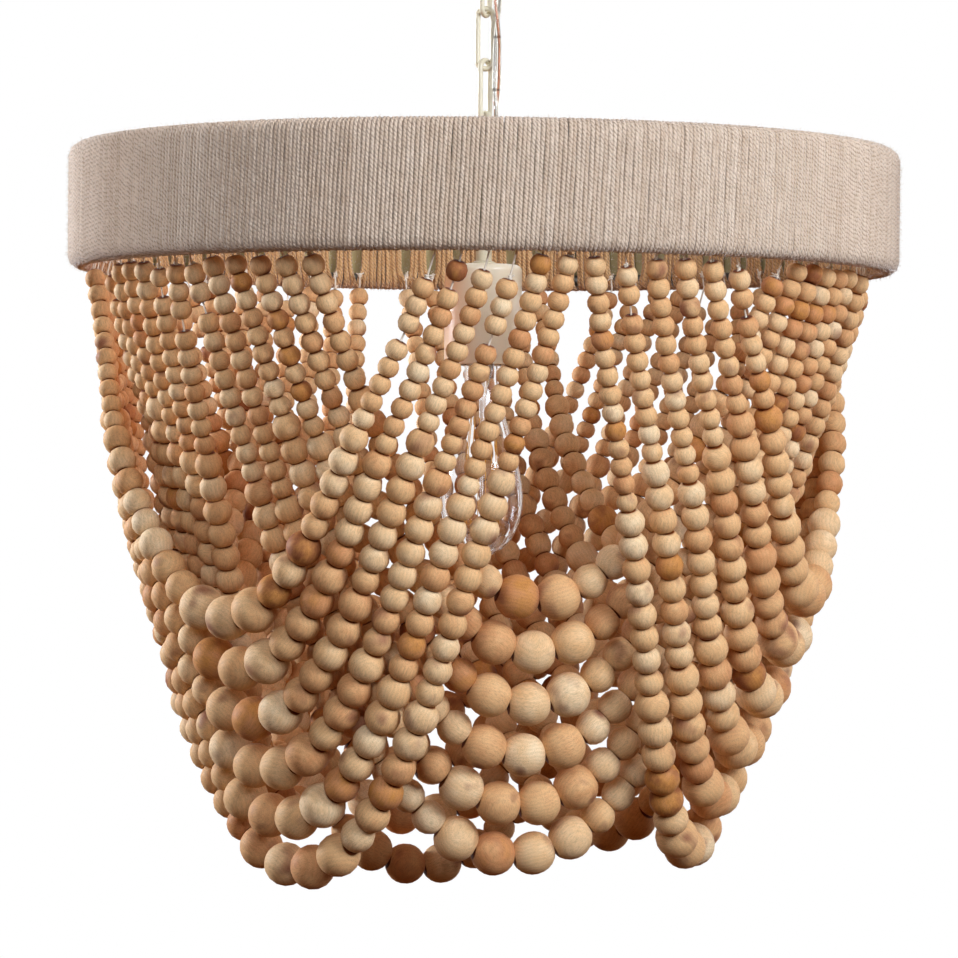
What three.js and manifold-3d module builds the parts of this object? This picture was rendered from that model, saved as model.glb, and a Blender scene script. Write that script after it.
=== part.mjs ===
// Beaded chandelier: a twine-wrapped drum hangs on three links of painted chain. Six groups of wooden bead
// strands loop from its lower edge, the shortest strand outermost, round one lamp in an enamelled cup.
// Millimetres, +Z up, -Y towards the front. The origin is on the ceiling, at the middle of the canopy.

import * as THREE from 'three';
import Module from 'manifold-3d';
import { mergeVertices } from 'three/addons/utils/BufferGeometryUtils.js';

// Overall sizes of the wrapped band
const bandDiameter = 610;
const bandHeight = 90;
const bandThickness = 17;

// Clearances between pieces that touch on the real lamp
const seatGap = 0.3;
const cutOverrun = 2;

// Ceiling fixings
const crossbarLength = 100;
const crossbarWidth = 22;
const crossbarThickness = 2.5;
const crossbarSlotLength = 9;
const crossbarSlotWidth = 4.6;
const crossbarSlotFromMiddle = 36;
const canopyDiameter = 127;
const canopyDepth = 30;
const canopySkirtHeight = 7;
const canopyCrownDiameter = 46;
const canopyWall = 1.2;
const nippleDiameter = 9.7;
const nippleBore = 6.6;
const nippleLength = 22;
const locknutAcrossFlats = 16;
const locknutThickness = 4;
const shankDiameter = 18;
const shankAboveCrown = 12;
const shankBelowCrown = 11.6;
const shankSocketDepth = 6;
const collarDiameter = 30;
const collarHeight = 7.5;
const collarChamfer = 1.5;

// Chain, and the rings that it hangs between
const linkLength = 48.4;
const linkWidth = 15.4;
const linkWire = 4;
const linkTurns = [60, 0, 52];
const ringDiameter = 27;
const ringWire = 5;
const canopyRingTurn = 0;
const fixtureRingTurn = -64;
const ringSunkInShank = 2;

// Lamp cord, a clear twin flex that runs beside the chain
const cordDiameter = 4.6;
const cordHoleClearance = 0.8;
const cordPoints = [
  [0, 0, -1], [0, 0, -20], [0, 0, -36], [0, -1, -44], [1, -4.4, -50], [3, -6.8, -57], [5.6, -6.8, -66],
  [7.8, -5.6, -78], [8.7, -4.8, -96], [8.8, -4.7, -120], [8.6, -4.7, -144], [8.4, -4.9, -165],
  [8.2, -5, -184], [8.2, -5, -199], [7.8, -4.8, -206], [4.6, -2.9, -211.5], [0.9, -0.6, -217],
  [0, 0, -225], [0, 0, -250], [0, 0, -288],
];

// Spider that carries the band from its hub
const studDiameter = 10;
const studLength = 3;
const hubDiameter = 34;
const hubHeight = 24;
const hubWall = 4;
const hubChamfer = 2;
const hubAboveArms = 11;
const armCount = 3;
const armFirstTurn = 43;
const armDiameter = 8;
const armIntoHub = 3;
const armHoleClearance = 1;
const hoopDiameter = 8.6;
const linerThickness = 1;
const twineThickness = 3;

// Lamp
const stemDiameter = 12;
const stemBore = 8;
const stemShoulderDiameter = 18;
const stemShoulderHeight = 2.5;
const stemAboveCup = 66.7;
const stemIntoCup = 9;
const cupDiameter = 57;
const cupHeight = 74;
const cupEdgeRadius = 5;
const cupWall = 1.3;
const holderDiameter = 39;
const holderHeight = 60;
const holderWall = 3.5;
const holderCrown = 8;
const holderThreadHeight = 24;
const bulbBaseDiameter = 26;
const bulbBaseHeight = 25;
const bulbTipDiameter = 9;
const bulbTipHeight = 4;
const bulbNeckDiameter = 27;
const bulbDiameter = 61;
const bulbLength = 144;
const bulbNeckInsideCup = 3;
const bulbNeckLength = 16;
const bulbEndLength = 42;
const bulbGlassWall = 1;

// Bead strands
const outerHangClearance = 1;
const innerHangClearance = 7;
const bowRiseShare = 0.265;
const strandLift = 1;
const strandsPerGroup = 6;
const stringDiameter = 2.4;
const stringAboveEdge = 12;
const stringBelowEdge = 1;
const beadNeckDiameter = 6;
const smallBeadDiameter = 15.5;
const smallBeadPitch = 13;
const mediumBeadDiameter = 20.5;
const mediumBeadPitch = 17.4;
const bigBeadDiameter = 25;
const bigBeadPitch = 21.4;
const largeBeadDiameter = 32;
const largeBeadPitch = 29;
const smallRunShare = 0.34;
const mediumRunShare = 0.31;
const largeRunShare = 0.12;

// The groups of strands, anticlockwise from the front as seen from below. Turns and half spans are in
// degrees, and a bow is outward. The first strand of a group is the shortest. Inner groups pass behind
// outer ones.
const strandGroups = [
  { name: 'front', inner: true, turn: 11.2, spans: [36.1, 57.4], sags: [236, 419], bow: -26.9 },
  { name: 'right', inner: false, turn: 75, spans: [37.9, 60.1], sags: [235, 420], bow: 14.9 },
  { name: 'right_rear', inner: true, turn: 134.3, spans: [37, 58.4], sags: [225, 419], bow: -23.9 },
  { name: 'rear', inner: false, turn: 194.1, spans: [35.2, 55.8], sags: [269, 454], bow: 15.4 },
  { name: 'left_rear', inner: true, turn: 255.5, spans: [33.7, 54.9], sags: [232, 401], bow: -16.3 },
  { name: 'left', inner: false, turn: 313.6, spans: [39.9, 58], sags: [251, 429], bow: 23.3 },
];

// Facets of each kind of form
const bandFacets = 32;
const canopyFacets = 24;
const roundFacets = 16;
const cupFacets = 16;
const rodFacets = 10;
const wireFacets = 6;
const hoopFacets = 4;
const cordFacets = 8;
const cordSteps = 36;
const cordHoleFacets = 8;
const wireBends = 7;
const edgeSteps = 3;
const bulbSteps = 4;
const canopySteps = 3;
const seatSamples = 24;
const courseSteps = 80;
const halvings = 50;
const beadFacets = 4;
const stringFacets = 3;
const plainRunSteps = 2;

const wasm = await Module();
wasm.setup();

const finishes = {
  creamPaint: { color: 0xd8cebe, roughness: 0.45, metalness: 0.1 },
  enamel: { color: 0xe2cfb0, roughness: 0.35, metalness: 0.05 },
  steel: { color: 0x9a9890, roughness: 0.45, metalness: 0.9 },
  brass: { color: 0xb08d4c, roughness: 0.35, metalness: 0.9 },
  clearFlex: { color: 0xd9c3ab, roughness: 0.2, metalness: 0 },
  twine: { color: 0xc4b29f, roughness: 0.95, metalness: 0 },
  liner: { color: 0xb5a888, roughness: 0.8, metalness: 0 },
  glass: { color: 0xe9e4d6, roughness: 0.05, metalness: 0 },
  porcelain: { color: 0xe9e6de, roughness: 0.3, metalness: 0 },
  paleWood: { color: 0xd3a878, roughness: 0.7, metalness: 0 },
  rosyWood: { color: 0xb98058, roughness: 0.7, metalness: 0 },
};

const chandelier = new THREE.Group();
chandelier.name = 'beaded_chandelier';

// Adds one named piece to a group
function addPiece(parent, name, geometry, finish) {
  const mesh = new THREE.Mesh(geometry, new THREE.MeshStandardMaterial(finish));
  mesh.name = name;
  parent.add(mesh);
  return mesh;
}

const radians = THREE.MathUtils.degToRad;
const mix = THREE.MathUtils.lerp;

// Joins and cuts of closed geometries
function toSolid(geometry) {
  const bare = geometry.clone();
  bare.deleteAttribute('normal');
  bare.deleteAttribute('uv');
  const merged = mergeVertices(bare);
  const vertProperties = new Float32Array(merged.attributes.position.array);
  const triVerts = new Uint32Array(merged.index.array);
  return new wasm.Manifold(new wasm.Mesh({ numProp: 3, vertProperties, triVerts }));
}

function toGeometry(solid) {
  const mesh = solid.getMesh();
  const geometry = new THREE.BufferGeometry();
  geometry.setAttribute('position', new THREE.BufferAttribute(new Float32Array(mesh.vertProperties), 3));
  geometry.setIndex(new THREE.BufferAttribute(new Uint32Array(mesh.triVerts), 1));
  return geometry;
}

function join(...geometries) {
  return toGeometry(geometries.map(toSolid).reduce((whole, part) => whole.add(part)));
}

function cut(geometry, ...tools) {
  return toGeometry(tools.map(toSolid).reduce((whole, tool) => whole.subtract(tool), toSolid(geometry)));
}

// Makes every triangle of a closed geometry face outwards, whichever way round it was drawn
function facingOut(geometry) {
  const [a, b, c] = [new THREE.Vector3(), new THREE.Vector3(), new THREE.Vector3()];
  const corners = geometry.index.array;
  let volume = 0;
  for (let at = 0; at < corners.length; at += 3) {
    a.fromBufferAttribute(geometry.attributes.position, corners[at]);
    b.fromBufferAttribute(geometry.attributes.position, corners[at + 1]);
    c.fromBufferAttribute(geometry.attributes.position, corners[at + 2]);
    volume += a.dot(b.cross(c));
  }
  if (volume < 0) geometry.setIndex(Array.from(corners).reverse());
  return geometry;
}

// A profile of [radius, height] points turned round the upright axis
function turned(profile, facets) {
  const points = profile.map(([radius, height]) => new THREE.Vector2(radius, height));
  return facingOut(new THREE.LatheGeometry(points, facets).rotateX(Math.PI / 2));
}

// Points of a profile along a quarter or half round, from one angle to another
function roundPoints(middleRadius, middleHeight, radius, from, to, steps) {
  const points = [];
  for (let step = 0; step <= steps; step += 1) {
    const angle = mix(from, to, step / steps);
    points.push([middleRadius + radius * Math.cos(angle), middleHeight + radius * Math.sin(angle)]);
  }
  return points;
}

// An upright round bar between two heights
function upright(diameter, top, bottom, facets) {
  const geometry = new THREE.CylinderGeometry(diameter / 2, diameter / 2, top - bottom, facets);
  geometry.rotateX(Math.PI / 2);
  geometry.translate(0, 0, (top + bottom) / 2);
  return geometry;
}

// The distance from the axis to a turned piece's facet, at a turn from the front
function facetRadius(radius, facets, turn) {
  const facet = (2 * Math.PI) / facets;
  const within = THREE.MathUtils.euclideanModulo(turn, facet) - facet / 2;
  return (radius * Math.cos(facet / 2)) / Math.cos(within);
}

// Rings of points stitched into one closed skin. Each ring has a middle, two axes, a radius and its sides.
function loft(rings, endless = false) {
  const positions = [];
  const triangles = [];
  const starts = [];
  for (const { middle, across, along, radius, sides } of rings) {
    starts.push(positions.length / 3);
    for (let side = 0; side < sides; side += 1) {
      const angle = (side * 2 * Math.PI) / sides;
      const point = middle.clone().addScaledVector(across, radius * Math.cos(angle));
      point.addScaledVector(along, radius * Math.sin(angle));
      positions.push(...point.toArray());
    }
  }
  const spans = endless ? rings.length : rings.length - 1;
  for (let span = 0; span < spans; span += 1) {
    const next = (span + 1) % rings.length;
    stitch(triangles, starts[span], rings[span].sides, starts[next], rings[next].sides);
  }
  if (!endless) {
    closeEnd(triangles, starts[0], rings[0].sides, false);
    closeEnd(triangles, starts.at(-1), rings.at(-1).sides, true);
  }
  const geometry = new THREE.BufferGeometry();
  geometry.setAttribute('position', new THREE.Float32BufferAttribute(positions, 3));
  geometry.setIndex(triangles);
  return facingOut(geometry);
}

// Triangles between two rings that may have unlike numbers of sides
function stitch(triangles, lowStart, lowSides, highStart, highSides) {
  let low = 0;
  let high = 0;
  while (low < lowSides || high < highSides) {
    const a = lowStart + (low % lowSides);
    const b = highStart + (high % highSides);
    const lowIsNext = (low + 1) / lowSides <= (high + 1) / highSides;
    if (high >= highSides || (low < lowSides && lowIsNext)) {
      low += 1;
      triangles.push(a, lowStart + (low % lowSides), b);
    } else {
      high += 1;
      triangles.push(a, highStart + (high % highSides), b);
    }
  }
}

// A flat end on the first or the last ring
function closeEnd(triangles, start, sides, last) {
  for (let side = 1; side < sides - 1; side += 1) {
    if (last) triangles.push(start, start + side, start + side + 1);
    else triangles.push(start, start + side + 1, start + side);
  }
}

// A closed loop of round wire in an upright plane: two round ends joined by straight sides
function wireLoop(length, width, wire, turn) {
  const bend = (width - wire) / 2;
  const straight = (length - wire) / 2 - bend;
  const side = new THREE.Vector3(Math.cos(turn), Math.sin(turn), 0);
  const face = new THREE.Vector3(Math.sin(turn), -Math.cos(turn), 0);
  const up = new THREE.Vector3(0, 0, 1);
  const rings = [];
  for (const [half, lift] of [[0, straight], [1, -straight]]) {
    for (let step = 0; step < wireBends; step += 1) {
      const angle = (half + step / (wireBends - 1)) * Math.PI;
      const isRepeated = straight <= 0 && step === wireBends - 1;
      if (isRepeated) continue;
      const across = side.clone().multiplyScalar(Math.cos(angle)).addScaledVector(up, Math.sin(angle));
      const middle = across.clone().multiplyScalar(bend).addScaledVector(up, lift);
      rings.push({ middle, across, along: face, radius: wire / 2, sides: wireFacets });
    }
  }
  return loft(rings, true);
}

// The height between two bent wires' middles, where the lower loop's top hangs on the upper loop's bottom
function hangingSeat(upper, lower, turn) {
  const touch = (upper.wire + lower.wire) / 2 + seatGap;
  let seat = touch;
  for (let i = -seatSamples; i <= seatSamples; i += 1) {
    for (let j = -seatSamples; j <= seatSamples; j += 1) {
      const a = ((i / seatSamples) * Math.PI) / 3;
      const b = ((j / seatSamples) * Math.PI) / 3;
      const s = upper.bend * Math.sin(a);
      const t = lower.bend * Math.sin(b);
      const level = s * s + t * t - 2 * s * t * Math.cos(turn);
      const rise = upper.bend * (1 - Math.cos(a)) + lower.bend * (1 - Math.cos(b));
      if (level < touch * touch) seat = Math.max(seat, rise + Math.sqrt(touch * touch - level));
    }
  }
  return seat;
}

// Heights from the ceiling down, each piece seated on the one above
const crownHeight = -canopyDepth;
const shankTop = crownHeight + shankAboveCrown;
const shankBottom = crownHeight - shankBelowCrown;
const ringBend = (ringDiameter - ringWire) / 2;
const canopyRingHeight = shankBottom + ringSunkInShank - ringWire / 2 - ringBend;
const linkYaws = linkTurns.map(radians);
const link = { wire: linkWire, bend: (linkWidth - linkWire) / 2 };
const ring = { wire: ringWire, bend: ringBend };
const linkReach = linkLength - linkWire;
const linkHeights = [];
let hangingWire = canopyRingHeight - ringBend;
let wireShape = ring;
let wireYaw = radians(canopyRingTurn);
for (const yaw of linkYaws) {
  const topWire = hangingWire + hangingSeat(wireShape, link, yaw - wireYaw);
  linkHeights.push(topWire - linkReach / 2);
  hangingWire = topWire - linkReach;
  wireShape = link;
  wireYaw = yaw;
}
const fixtureRingYaw = radians(fixtureRingTurn);
const fixtureRingHeight = hangingWire + hangingSeat(link, ring, fixtureRingYaw - wireYaw) - ringBend;
const hubTop = fixtureRingHeight - ringBend - ringWire / 2 - seatGap;
const hubBottom = hubTop - hubHeight;
const armHeight = hubTop - hubAboveArms;
const hoopInset = bandThickness / 2;
const bandTop = armHeight + hoopInset;
const bandBottom = bandTop - bandHeight;
const bandOuter = bandDiameter / 2;
const bandInner = bandOuter - bandThickness;
const bandMiddle = bandOuter - bandThickness / 2;
const topHoopHeight = bandTop - hoopInset;
const bottomHoopHeight = bandBottom + hoopInset;
const stemShoulderBottom = hubBottom + hubWall + seatGap;
const cupTop = stemShoulderBottom - stemAboveCup;
const cupBottom = cupTop - cupHeight;
const holderTop = cupTop - cupWall - seatGap;
const holderBottom = holderTop - holderHeight;
const bulbNeckTop = cupBottom + bulbNeckInsideCup;

// Ceiling fixings
function crossbar() {
  const outline = new THREE.Shape();
  const end = crossbarWidth / 2;
  const straight = crossbarLength / 2 - end;
  outline.moveTo(-straight, -end);
  outline.lineTo(straight, -end);
  outline.absarc(straight, 0, end, -Math.PI / 2, Math.PI / 2, false);
  outline.lineTo(-straight, end);
  outline.absarc(-straight, 0, end, Math.PI / 2, (3 * Math.PI) / 2, false);
  outline.holes.push(new THREE.Path().absarc(0, 0, nippleDiameter / 2 + seatGap, 0, 2 * Math.PI, true));
  for (const way of [-1, 1]) {
    const slot = new THREE.Path();
    const near = way * crossbarSlotFromMiddle - crossbarSlotLength / 2;
    const far = near + crossbarSlotLength;
    slot.moveTo(near, -crossbarSlotWidth / 2);
    slot.lineTo(near, crossbarSlotWidth / 2);
    slot.lineTo(far, crossbarSlotWidth / 2);
    slot.lineTo(far, -crossbarSlotWidth / 2);
    outline.holes.push(slot);
  }
  const settings = { depth: crossbarThickness, bevelEnabled: false, curveSegments: wireBends };
  const geometry = new THREE.ExtrudeGeometry(outline, settings);
  geometry.translate(0, 0, -crossbarThickness);
  return geometry;
}

// A hexagon nut with a hole, lying flat with its top at the given height
function hexNut(acrossFlats, thickness, hole, top) {
  const outline = new THREE.Shape();
  const corner = acrossFlats / Math.sqrt(3);
  for (let side = 0; side < 6; side += 1) {
    const angle = (side * Math.PI) / 3;
    if (side === 0) outline.moveTo(corner, 0);
    else outline.lineTo(corner * Math.cos(angle), corner * Math.sin(angle));
  }
  outline.holes.push(new THREE.Path().absarc(0, 0, hole / 2, 0, 2 * Math.PI, true));
  const settings = { depth: thickness, bevelEnabled: false, curveSegments: wireBends };
  const geometry = new THREE.ExtrudeGeometry(outline, settings);
  geometry.translate(0, 0, top - thickness);
  return geometry;
}

// A skirt that meets the ceiling, a round shoulder and a flat crown with a hole for the shank
function canopy() {
  const rim = canopyDiameter / 2;
  const crown = canopyCrownDiameter / 2;
  const hole = shankDiameter / 2 + seatGap;
  const wallFrom = (inset) => {
    const points = [[rim - inset, 0]];
    for (let step = 0; step <= canopySteps; step += 1) {
      const angle = (step * Math.PI) / 2 / canopySteps;
      const reach = (rim - crown - inset) * Math.cos(angle);
      const drop = (canopyDepth - canopySkirtHeight - inset) * Math.sin(angle);
      points.push([crown + reach, -canopySkirtHeight - drop]);
    }
    points.push([hole, inset - canopyDepth]);
    return points;
  };
  const outside = wallFrom(0);
  return turned([...outside, ...wallFrom(canopyWall).reverse(), outside[0]], canopyFacets);
}

// A tube round the axis, between two heights
function sleeve(outer, inner, top, bottom, facets) {
  const [a, b] = [outer / 2, inner / 2];
  return turned([[b, top], [b, bottom], [a, bottom], [a, top], [b, top]], facets);
}

function canopyLoop() {
  const shank = upright(shankDiameter, shankTop, shankBottom, roundFacets);
  const eye = wireLoop(ringDiameter, ringDiameter, ringWire, radians(canopyRingTurn));
  eye.translate(0, 0, canopyRingHeight);
  const socketBottom = shankTop - shankSocketDepth;
  const socket = upright(nippleDiameter + 2 * seatGap, shankTop + cutOverrun, socketBottom, rodFacets);
  const bore = upright(nippleBore, shankTop, shankBottom - ringWire - cutOverrun, rodFacets);
  return cut(join(shank, eye), socket, bore);
}

function canopyCollar() {
  const inner = shankDiameter / 2 + seatGap;
  const outer = collarDiameter / 2;
  const top = crownHeight - seatGap;
  const bottom = top - collarHeight;
  const profile = [[inner, top], [inner, bottom], [outer - collarChamfer, bottom]];
  profile.push([outer, bottom + collarChamfer], [outer, top], [inner, top]);
  return turned(profile, roundFacets);
}

const ceiling = new THREE.Group();
chandelier.add(ceiling);
const nippleTop = shankTop - shankSocketDepth + seatGap + nippleLength;
addPiece(ceiling, 'crossbar', crossbar(), finishes.steel);
addPiece(ceiling, 'canopy', canopy(), finishes.creamPaint);
addPiece(
  ceiling,
  'canopy_nipple',
  sleeve(nippleDiameter, nippleBore, nippleTop, nippleTop - nippleLength, rodFacets),
  finishes.steel,
);
addPiece(
  ceiling,
  'canopy_locknut',
  hexNut(locknutAcrossFlats, locknutThickness, nippleDiameter + 2 * seatGap, -crossbarThickness - seatGap),
  finishes.steel,
);
addPiece(ceiling, 'canopy_collar', canopyCollar(), finishes.creamPaint);
addPiece(ceiling, 'canopy_loop', canopyLoop(), finishes.creamPaint);

// Chain
linkHeights.forEach((height, index) => {
  const loop = wireLoop(linkLength, linkWidth, linkWire, linkYaws[index]);
  const mesh = addPiece(chandelier, `chain_link_${index + 1}`, loop, finishes.creamPaint);
  mesh.position.z = height;
});

// Lamp cord, from the ceiling through the canopy's shank, beside the chain, and through the hub to the lamp
function lampCord() {
  const route = new THREE.CatmullRomCurve3(cordPoints.map((point) => new THREE.Vector3(...point)));
  const section = new THREE.Shape();
  for (let side = 0; side < cordFacets; side += 1) {
    const angle = (side * 2 * Math.PI) / cordFacets;
    const point = [(cordDiameter / 2) * Math.cos(angle), (cordDiameter / 2) * Math.sin(angle)];
    if (side === 0) section.moveTo(...point);
    else section.lineTo(...point);
  }
  return new THREE.ExtrudeGeometry(section, { steps: cordSteps, extrudePath: route, bevelEnabled: false });
}
addPiece(chandelier, 'lamp_cord', lampCord(), finishes.clearFlex);

// Spider: an eye on a stud, a hollow hub and arms that reach the top hoop inside the band
const fixture = new THREE.Group();
chandelier.add(fixture);

function fixtureLoop() {
  const eye = wireLoop(ringDiameter, ringDiameter, ringWire, fixtureRingYaw);
  eye.translate(0, 0, fixtureRingHeight);
  return join(eye, upright(studDiameter, hubTop + ringWire / 2, hubTop - studLength, rodFacets));
}

function hub() {
  const outer = hubDiameter / 2;
  const inner = outer - hubWall;
  const studHole = studDiameter / 2 + seatGap;
  const stemHole = stemDiameter / 2 + seatGap;
  const profile = [[studHole, hubTop], [studHole, hubTop - hubWall], [inner, hubTop - hubWall]];
  profile.push([inner, hubBottom + hubWall], [stemHole, hubBottom + hubWall], [stemHole, hubBottom]);
  profile.push([outer - hubChamfer, hubBottom], [outer, hubBottom + hubChamfer]);
  profile.push([outer, hubTop - hubChamfer], [outer - hubChamfer, hubTop], [studHole, hubTop]);
  const cordHoleDiameter = cordDiameter + 2 * cordHoleClearance;
  const cordHole = upright(cordHoleDiameter, hubTop + cutOverrun, hubTop - hubWall - cutOverrun, cordHoleFacets);
  const [cordX, cordY] = cordPoints.find(([, , height]) => height < hubTop);
  cordHole.translate(cordX, cordY, 0);
  const armHoles = armTurns.map((turn) => armBar(turn, outer - armIntoHub, outer + cutOverrun, seatGap));
  return cut(turned(profile, roundFacets), cordHole, ...armHoles);
}

// A level round bar along a radius, with a clearance all round when it is a hole
function armBar(turn, near, far, clearance) {
  const radius = armDiameter / 2 + clearance;
  const geometry = new THREE.CylinderGeometry(radius, radius, far - near, wireFacets);
  geometry.translate(0, (near + far) / 2, 0);
  geometry.rotateZ(turn);
  geometry.translate(0, 0, armHeight);
  return geometry;
}

const armTurns = Array.from({ length: armCount }, (_, arm) => radians(armFirstTurn + (360 * arm) / armCount));
const armNear = hubDiameter / 2 - armIntoHub + seatGap;
const hoopInner = bandMiddle - hoopDiameter / 2;
const armFar = hoopInner * Math.cos(Math.PI / bandFacets) - seatGap;
addPiece(fixture, 'fixture_loop', fixtureLoop(), finishes.creamPaint);
addPiece(fixture, 'hub', hub(), finishes.creamPaint);
armTurns.forEach((turn, index) => {
  addPiece(fixture, `spider_arm_${index + 1}`, armBar(turn, armNear, armFar, 0), finishes.creamPaint);
});

// Band: two hoops joined by a liner, wrapped all round in upright turns of twine
function hoop(height) {
  const section = roundPoints(bandMiddle, height, hoopDiameter / 2, 0, 2 * Math.PI, hoopFacets);
  return turned(section, bandFacets);
}

// A ring whose section is a slot with round ends, as deep as the band less an inset all round
function bandSection(inset) {
  const roundness = bandThickness / 2 - inset;
  const under = roundPoints(bandMiddle, bottomHoopHeight, roundness, -Math.PI, 0, edgeSteps);
  const over = roundPoints(bandMiddle, topHoopHeight, roundness, 0, Math.PI, edgeSteps);
  return turned([...under, ...over, under[0]], bandFacets);
}

function twineWrap() {
  const near = bandInner * Math.cos(Math.PI / bandFacets) - cutOverrun;
  const far = bandInner + twineThickness + cutOverrun;
  const armHoles = armTurns.map((turn) => armBar(turn, near, far, armHoleClearance));
  return cut(bandSection(0), bandSection(twineThickness), ...armHoles);
}

addPiece(fixture, 'top_hoop', hoop(topHoopHeight), finishes.steel);
addPiece(fixture, 'bottom_hoop', hoop(bottomHoopHeight), finishes.steel);
const linerTop = topHoopHeight - hoopDiameter / 2 - seatGap;
const linerBottom = bottomHoopHeight + hoopDiameter / 2 + seatGap;
addPiece(
  fixture,
  'liner',
  sleeve(2 * bandMiddle + linerThickness, 2 * bandMiddle - linerThickness, linerTop, linerBottom, bandFacets),
  finishes.liner,
);
addPiece(fixture, 'twine_wrap', twineWrap(), finishes.twine);

// Lamp: a tube from the hub carries the cup and the holder, and the bulb screws up into the holder
function stem() {
  const [outer, inner, shoulder] = [stemDiameter / 2, stemBore / 2, stemShoulderDiameter / 2];
  const top = stemShoulderBottom + stemShoulderHeight;
  const ringTop = cupTop + seatGap + stemShoulderHeight;
  const ringBottom = cupTop + seatGap;
  const bottom = cupTop - stemIntoCup;
  const profile = [[inner, top], [inner, bottom], [outer, bottom], [outer, ringBottom], [shoulder, ringBottom]];
  profile.push([shoulder, ringTop], [outer, ringTop], [outer, stemShoulderBottom]);
  profile.push([shoulder, stemShoulderBottom], [shoulder, top], [inner, top]);
  return turned(profile, rodFacets);
}

function socketCup() {
  const wallFrom = (inset) => {
    const edge = cupEdgeRadius - inset;
    const radius = cupDiameter / 2 - cupEdgeRadius;
    const shoulder = roundPoints(radius, cupTop - cupEdgeRadius, edge, 0, Math.PI / 2, edgeSteps);
    return [[cupDiameter / 2 - inset, cupBottom], ...shoulder, [stemDiameter / 2 + seatGap, cupTop - inset]];
  };
  const outside = wallFrom(0);
  return turned([...outside, ...wallFrom(cupWall).reverse(), outside[0]], cupFacets);
}

function lampHolder() {
  const outer = holderDiameter / 2;
  const room = outer - holderWall;
  const hole = stemDiameter / 2 + seatGap;
  const thread = bulbBaseDiameter / 2 + seatGap;
  const threadTop = holderBottom + holderThreadHeight;
  const profile = [[hole, holderTop], [hole, holderTop - holderCrown], [room, holderTop - holderCrown]];
  profile.push([room, threadTop], [thread, threadTop], [thread, holderBottom], [outer, holderBottom]);
  profile.push([outer, holderTop], [hole, holderTop]);
  return turned(profile, roundFacets);
}

function bulbBase() {
  const top = bulbNeckTop + seatGap + bulbBaseHeight;
  const [radius, tip] = [bulbBaseDiameter / 2, bulbTipDiameter / 2];
  const bottom = bulbNeckTop + seatGap;
  const profile = [[0, bottom], [radius, bottom], [radius, top - bulbTipHeight], [tip, top], [0, top]];
  return turned(profile, roundFacets);
}

// A glass with an open neck that widens in a long easy curve and ends in a dome
function bulbGlass() {
  const flareLength = bulbLength - bulbNeckLength - bulbEndLength;
  const wallFrom = (inset) => {
    const [neck, widest] = [bulbNeckDiameter / 2 - inset, bulbDiameter / 2 - inset];
    const points = [[neck, bulbNeckTop]];
    for (let step = 0; step <= bulbSteps; step += 1) {
      const share = step / bulbSteps;
      const ease = share * share * (3 - 2 * share);
      points.push([mix(neck, widest, ease), bulbNeckTop - bulbNeckLength - flareLength * share]);
    }
    const domeTop = bulbNeckTop - bulbNeckLength - flareLength;
    for (let step = 1; step < bulbSteps; step += 1) {
      const angle = (step * Math.PI) / 2 / bulbSteps;
      const drop = (bulbEndLength - inset) * Math.sin(angle);
      points.push([widest * Math.cos(angle), domeTop - drop]);
    }
    points.push([0, domeTop - bulbEndLength + inset]);
    return points;
  };
  return turned([...wallFrom(0).reverse(), ...wallFrom(bulbGlassWall)], roundFacets);
}

addPiece(fixture, 'stem', stem(), finishes.creamPaint);
addPiece(fixture, 'socket_cup', socketCup(), finishes.enamel);
addPiece(fixture, 'lampholder', lampHolder(), finishes.porcelain);
addPiece(fixture, 'bulb_base', bulbBase(), finishes.brass);
addPiece(fixture, 'bulb_glass', bulbGlass(), finishes.glass);

const smallBead = { diameter: smallBeadDiameter, pitch: smallBeadPitch };
const mediumBead = { diameter: mediumBeadDiameter, pitch: mediumBeadPitch };
const bigBead = { diameter: bigBeadDiameter, pitch: bigBeadPitch };
const largeBead = { diameter: largeBeadDiameter, pitch: largeBeadPitch };

// The kinds of beads along a half strand, from its middle to its end
const beadRuns = [
  { bead: largeBead, upTo: largeRunShare },
  { bead: bigBead, upTo: 1 - smallRunShare - mediumRunShare },
  { bead: mediumBead, upTo: 1 - smallRunShare },
  { bead: smallBead, upTo: 1 },
];

// How much of the weight of a half strand hangs below each step along it
const loads = [];
let weightBelow = 0;
for (let step = 0; step < courseSteps; step += 1) {
  const { bead } = beadRuns.find(({ upTo }) => (step + 1 / 2) / courseSteps < upTo);
  const weight = bead.diameter ** 3 / bead.pitch;
  loads.push(weightBelow + weight / 2);
  weightBelow += weight;
}

// The curve of a hanging half strand, from its middle to its end. It is steeper where more beads hang below.
function hangingCurve(halfSpan, sag) {
  const trace = (pull) => {
    const points = [[0, 0]];
    for (const load of loads) {
      const slope = Math.atan((pull * load) / weightBelow);
      const [side, rise] = points.at(-1);
      points.push([side + Math.cos(slope), rise + Math.sin(slope)]);
    }
    return points;
  };
  let [low, high] = [0, (loads.length * sag) / halfSpan];
  for (let round = 0; round < halvings; round += 1) {
    const [side, rise] = trace((low + high) / 2).at(-1);
    if (rise / side > sag / halfSpan) high = (low + high) / 2;
    else low = (low + high) / 2;
  }
  const points = trace(low);
  const stepLength = halfSpan / points.at(-1)[0];
  return { halfLength: loads.length * stepLength, stepLength, points };
}

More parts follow.
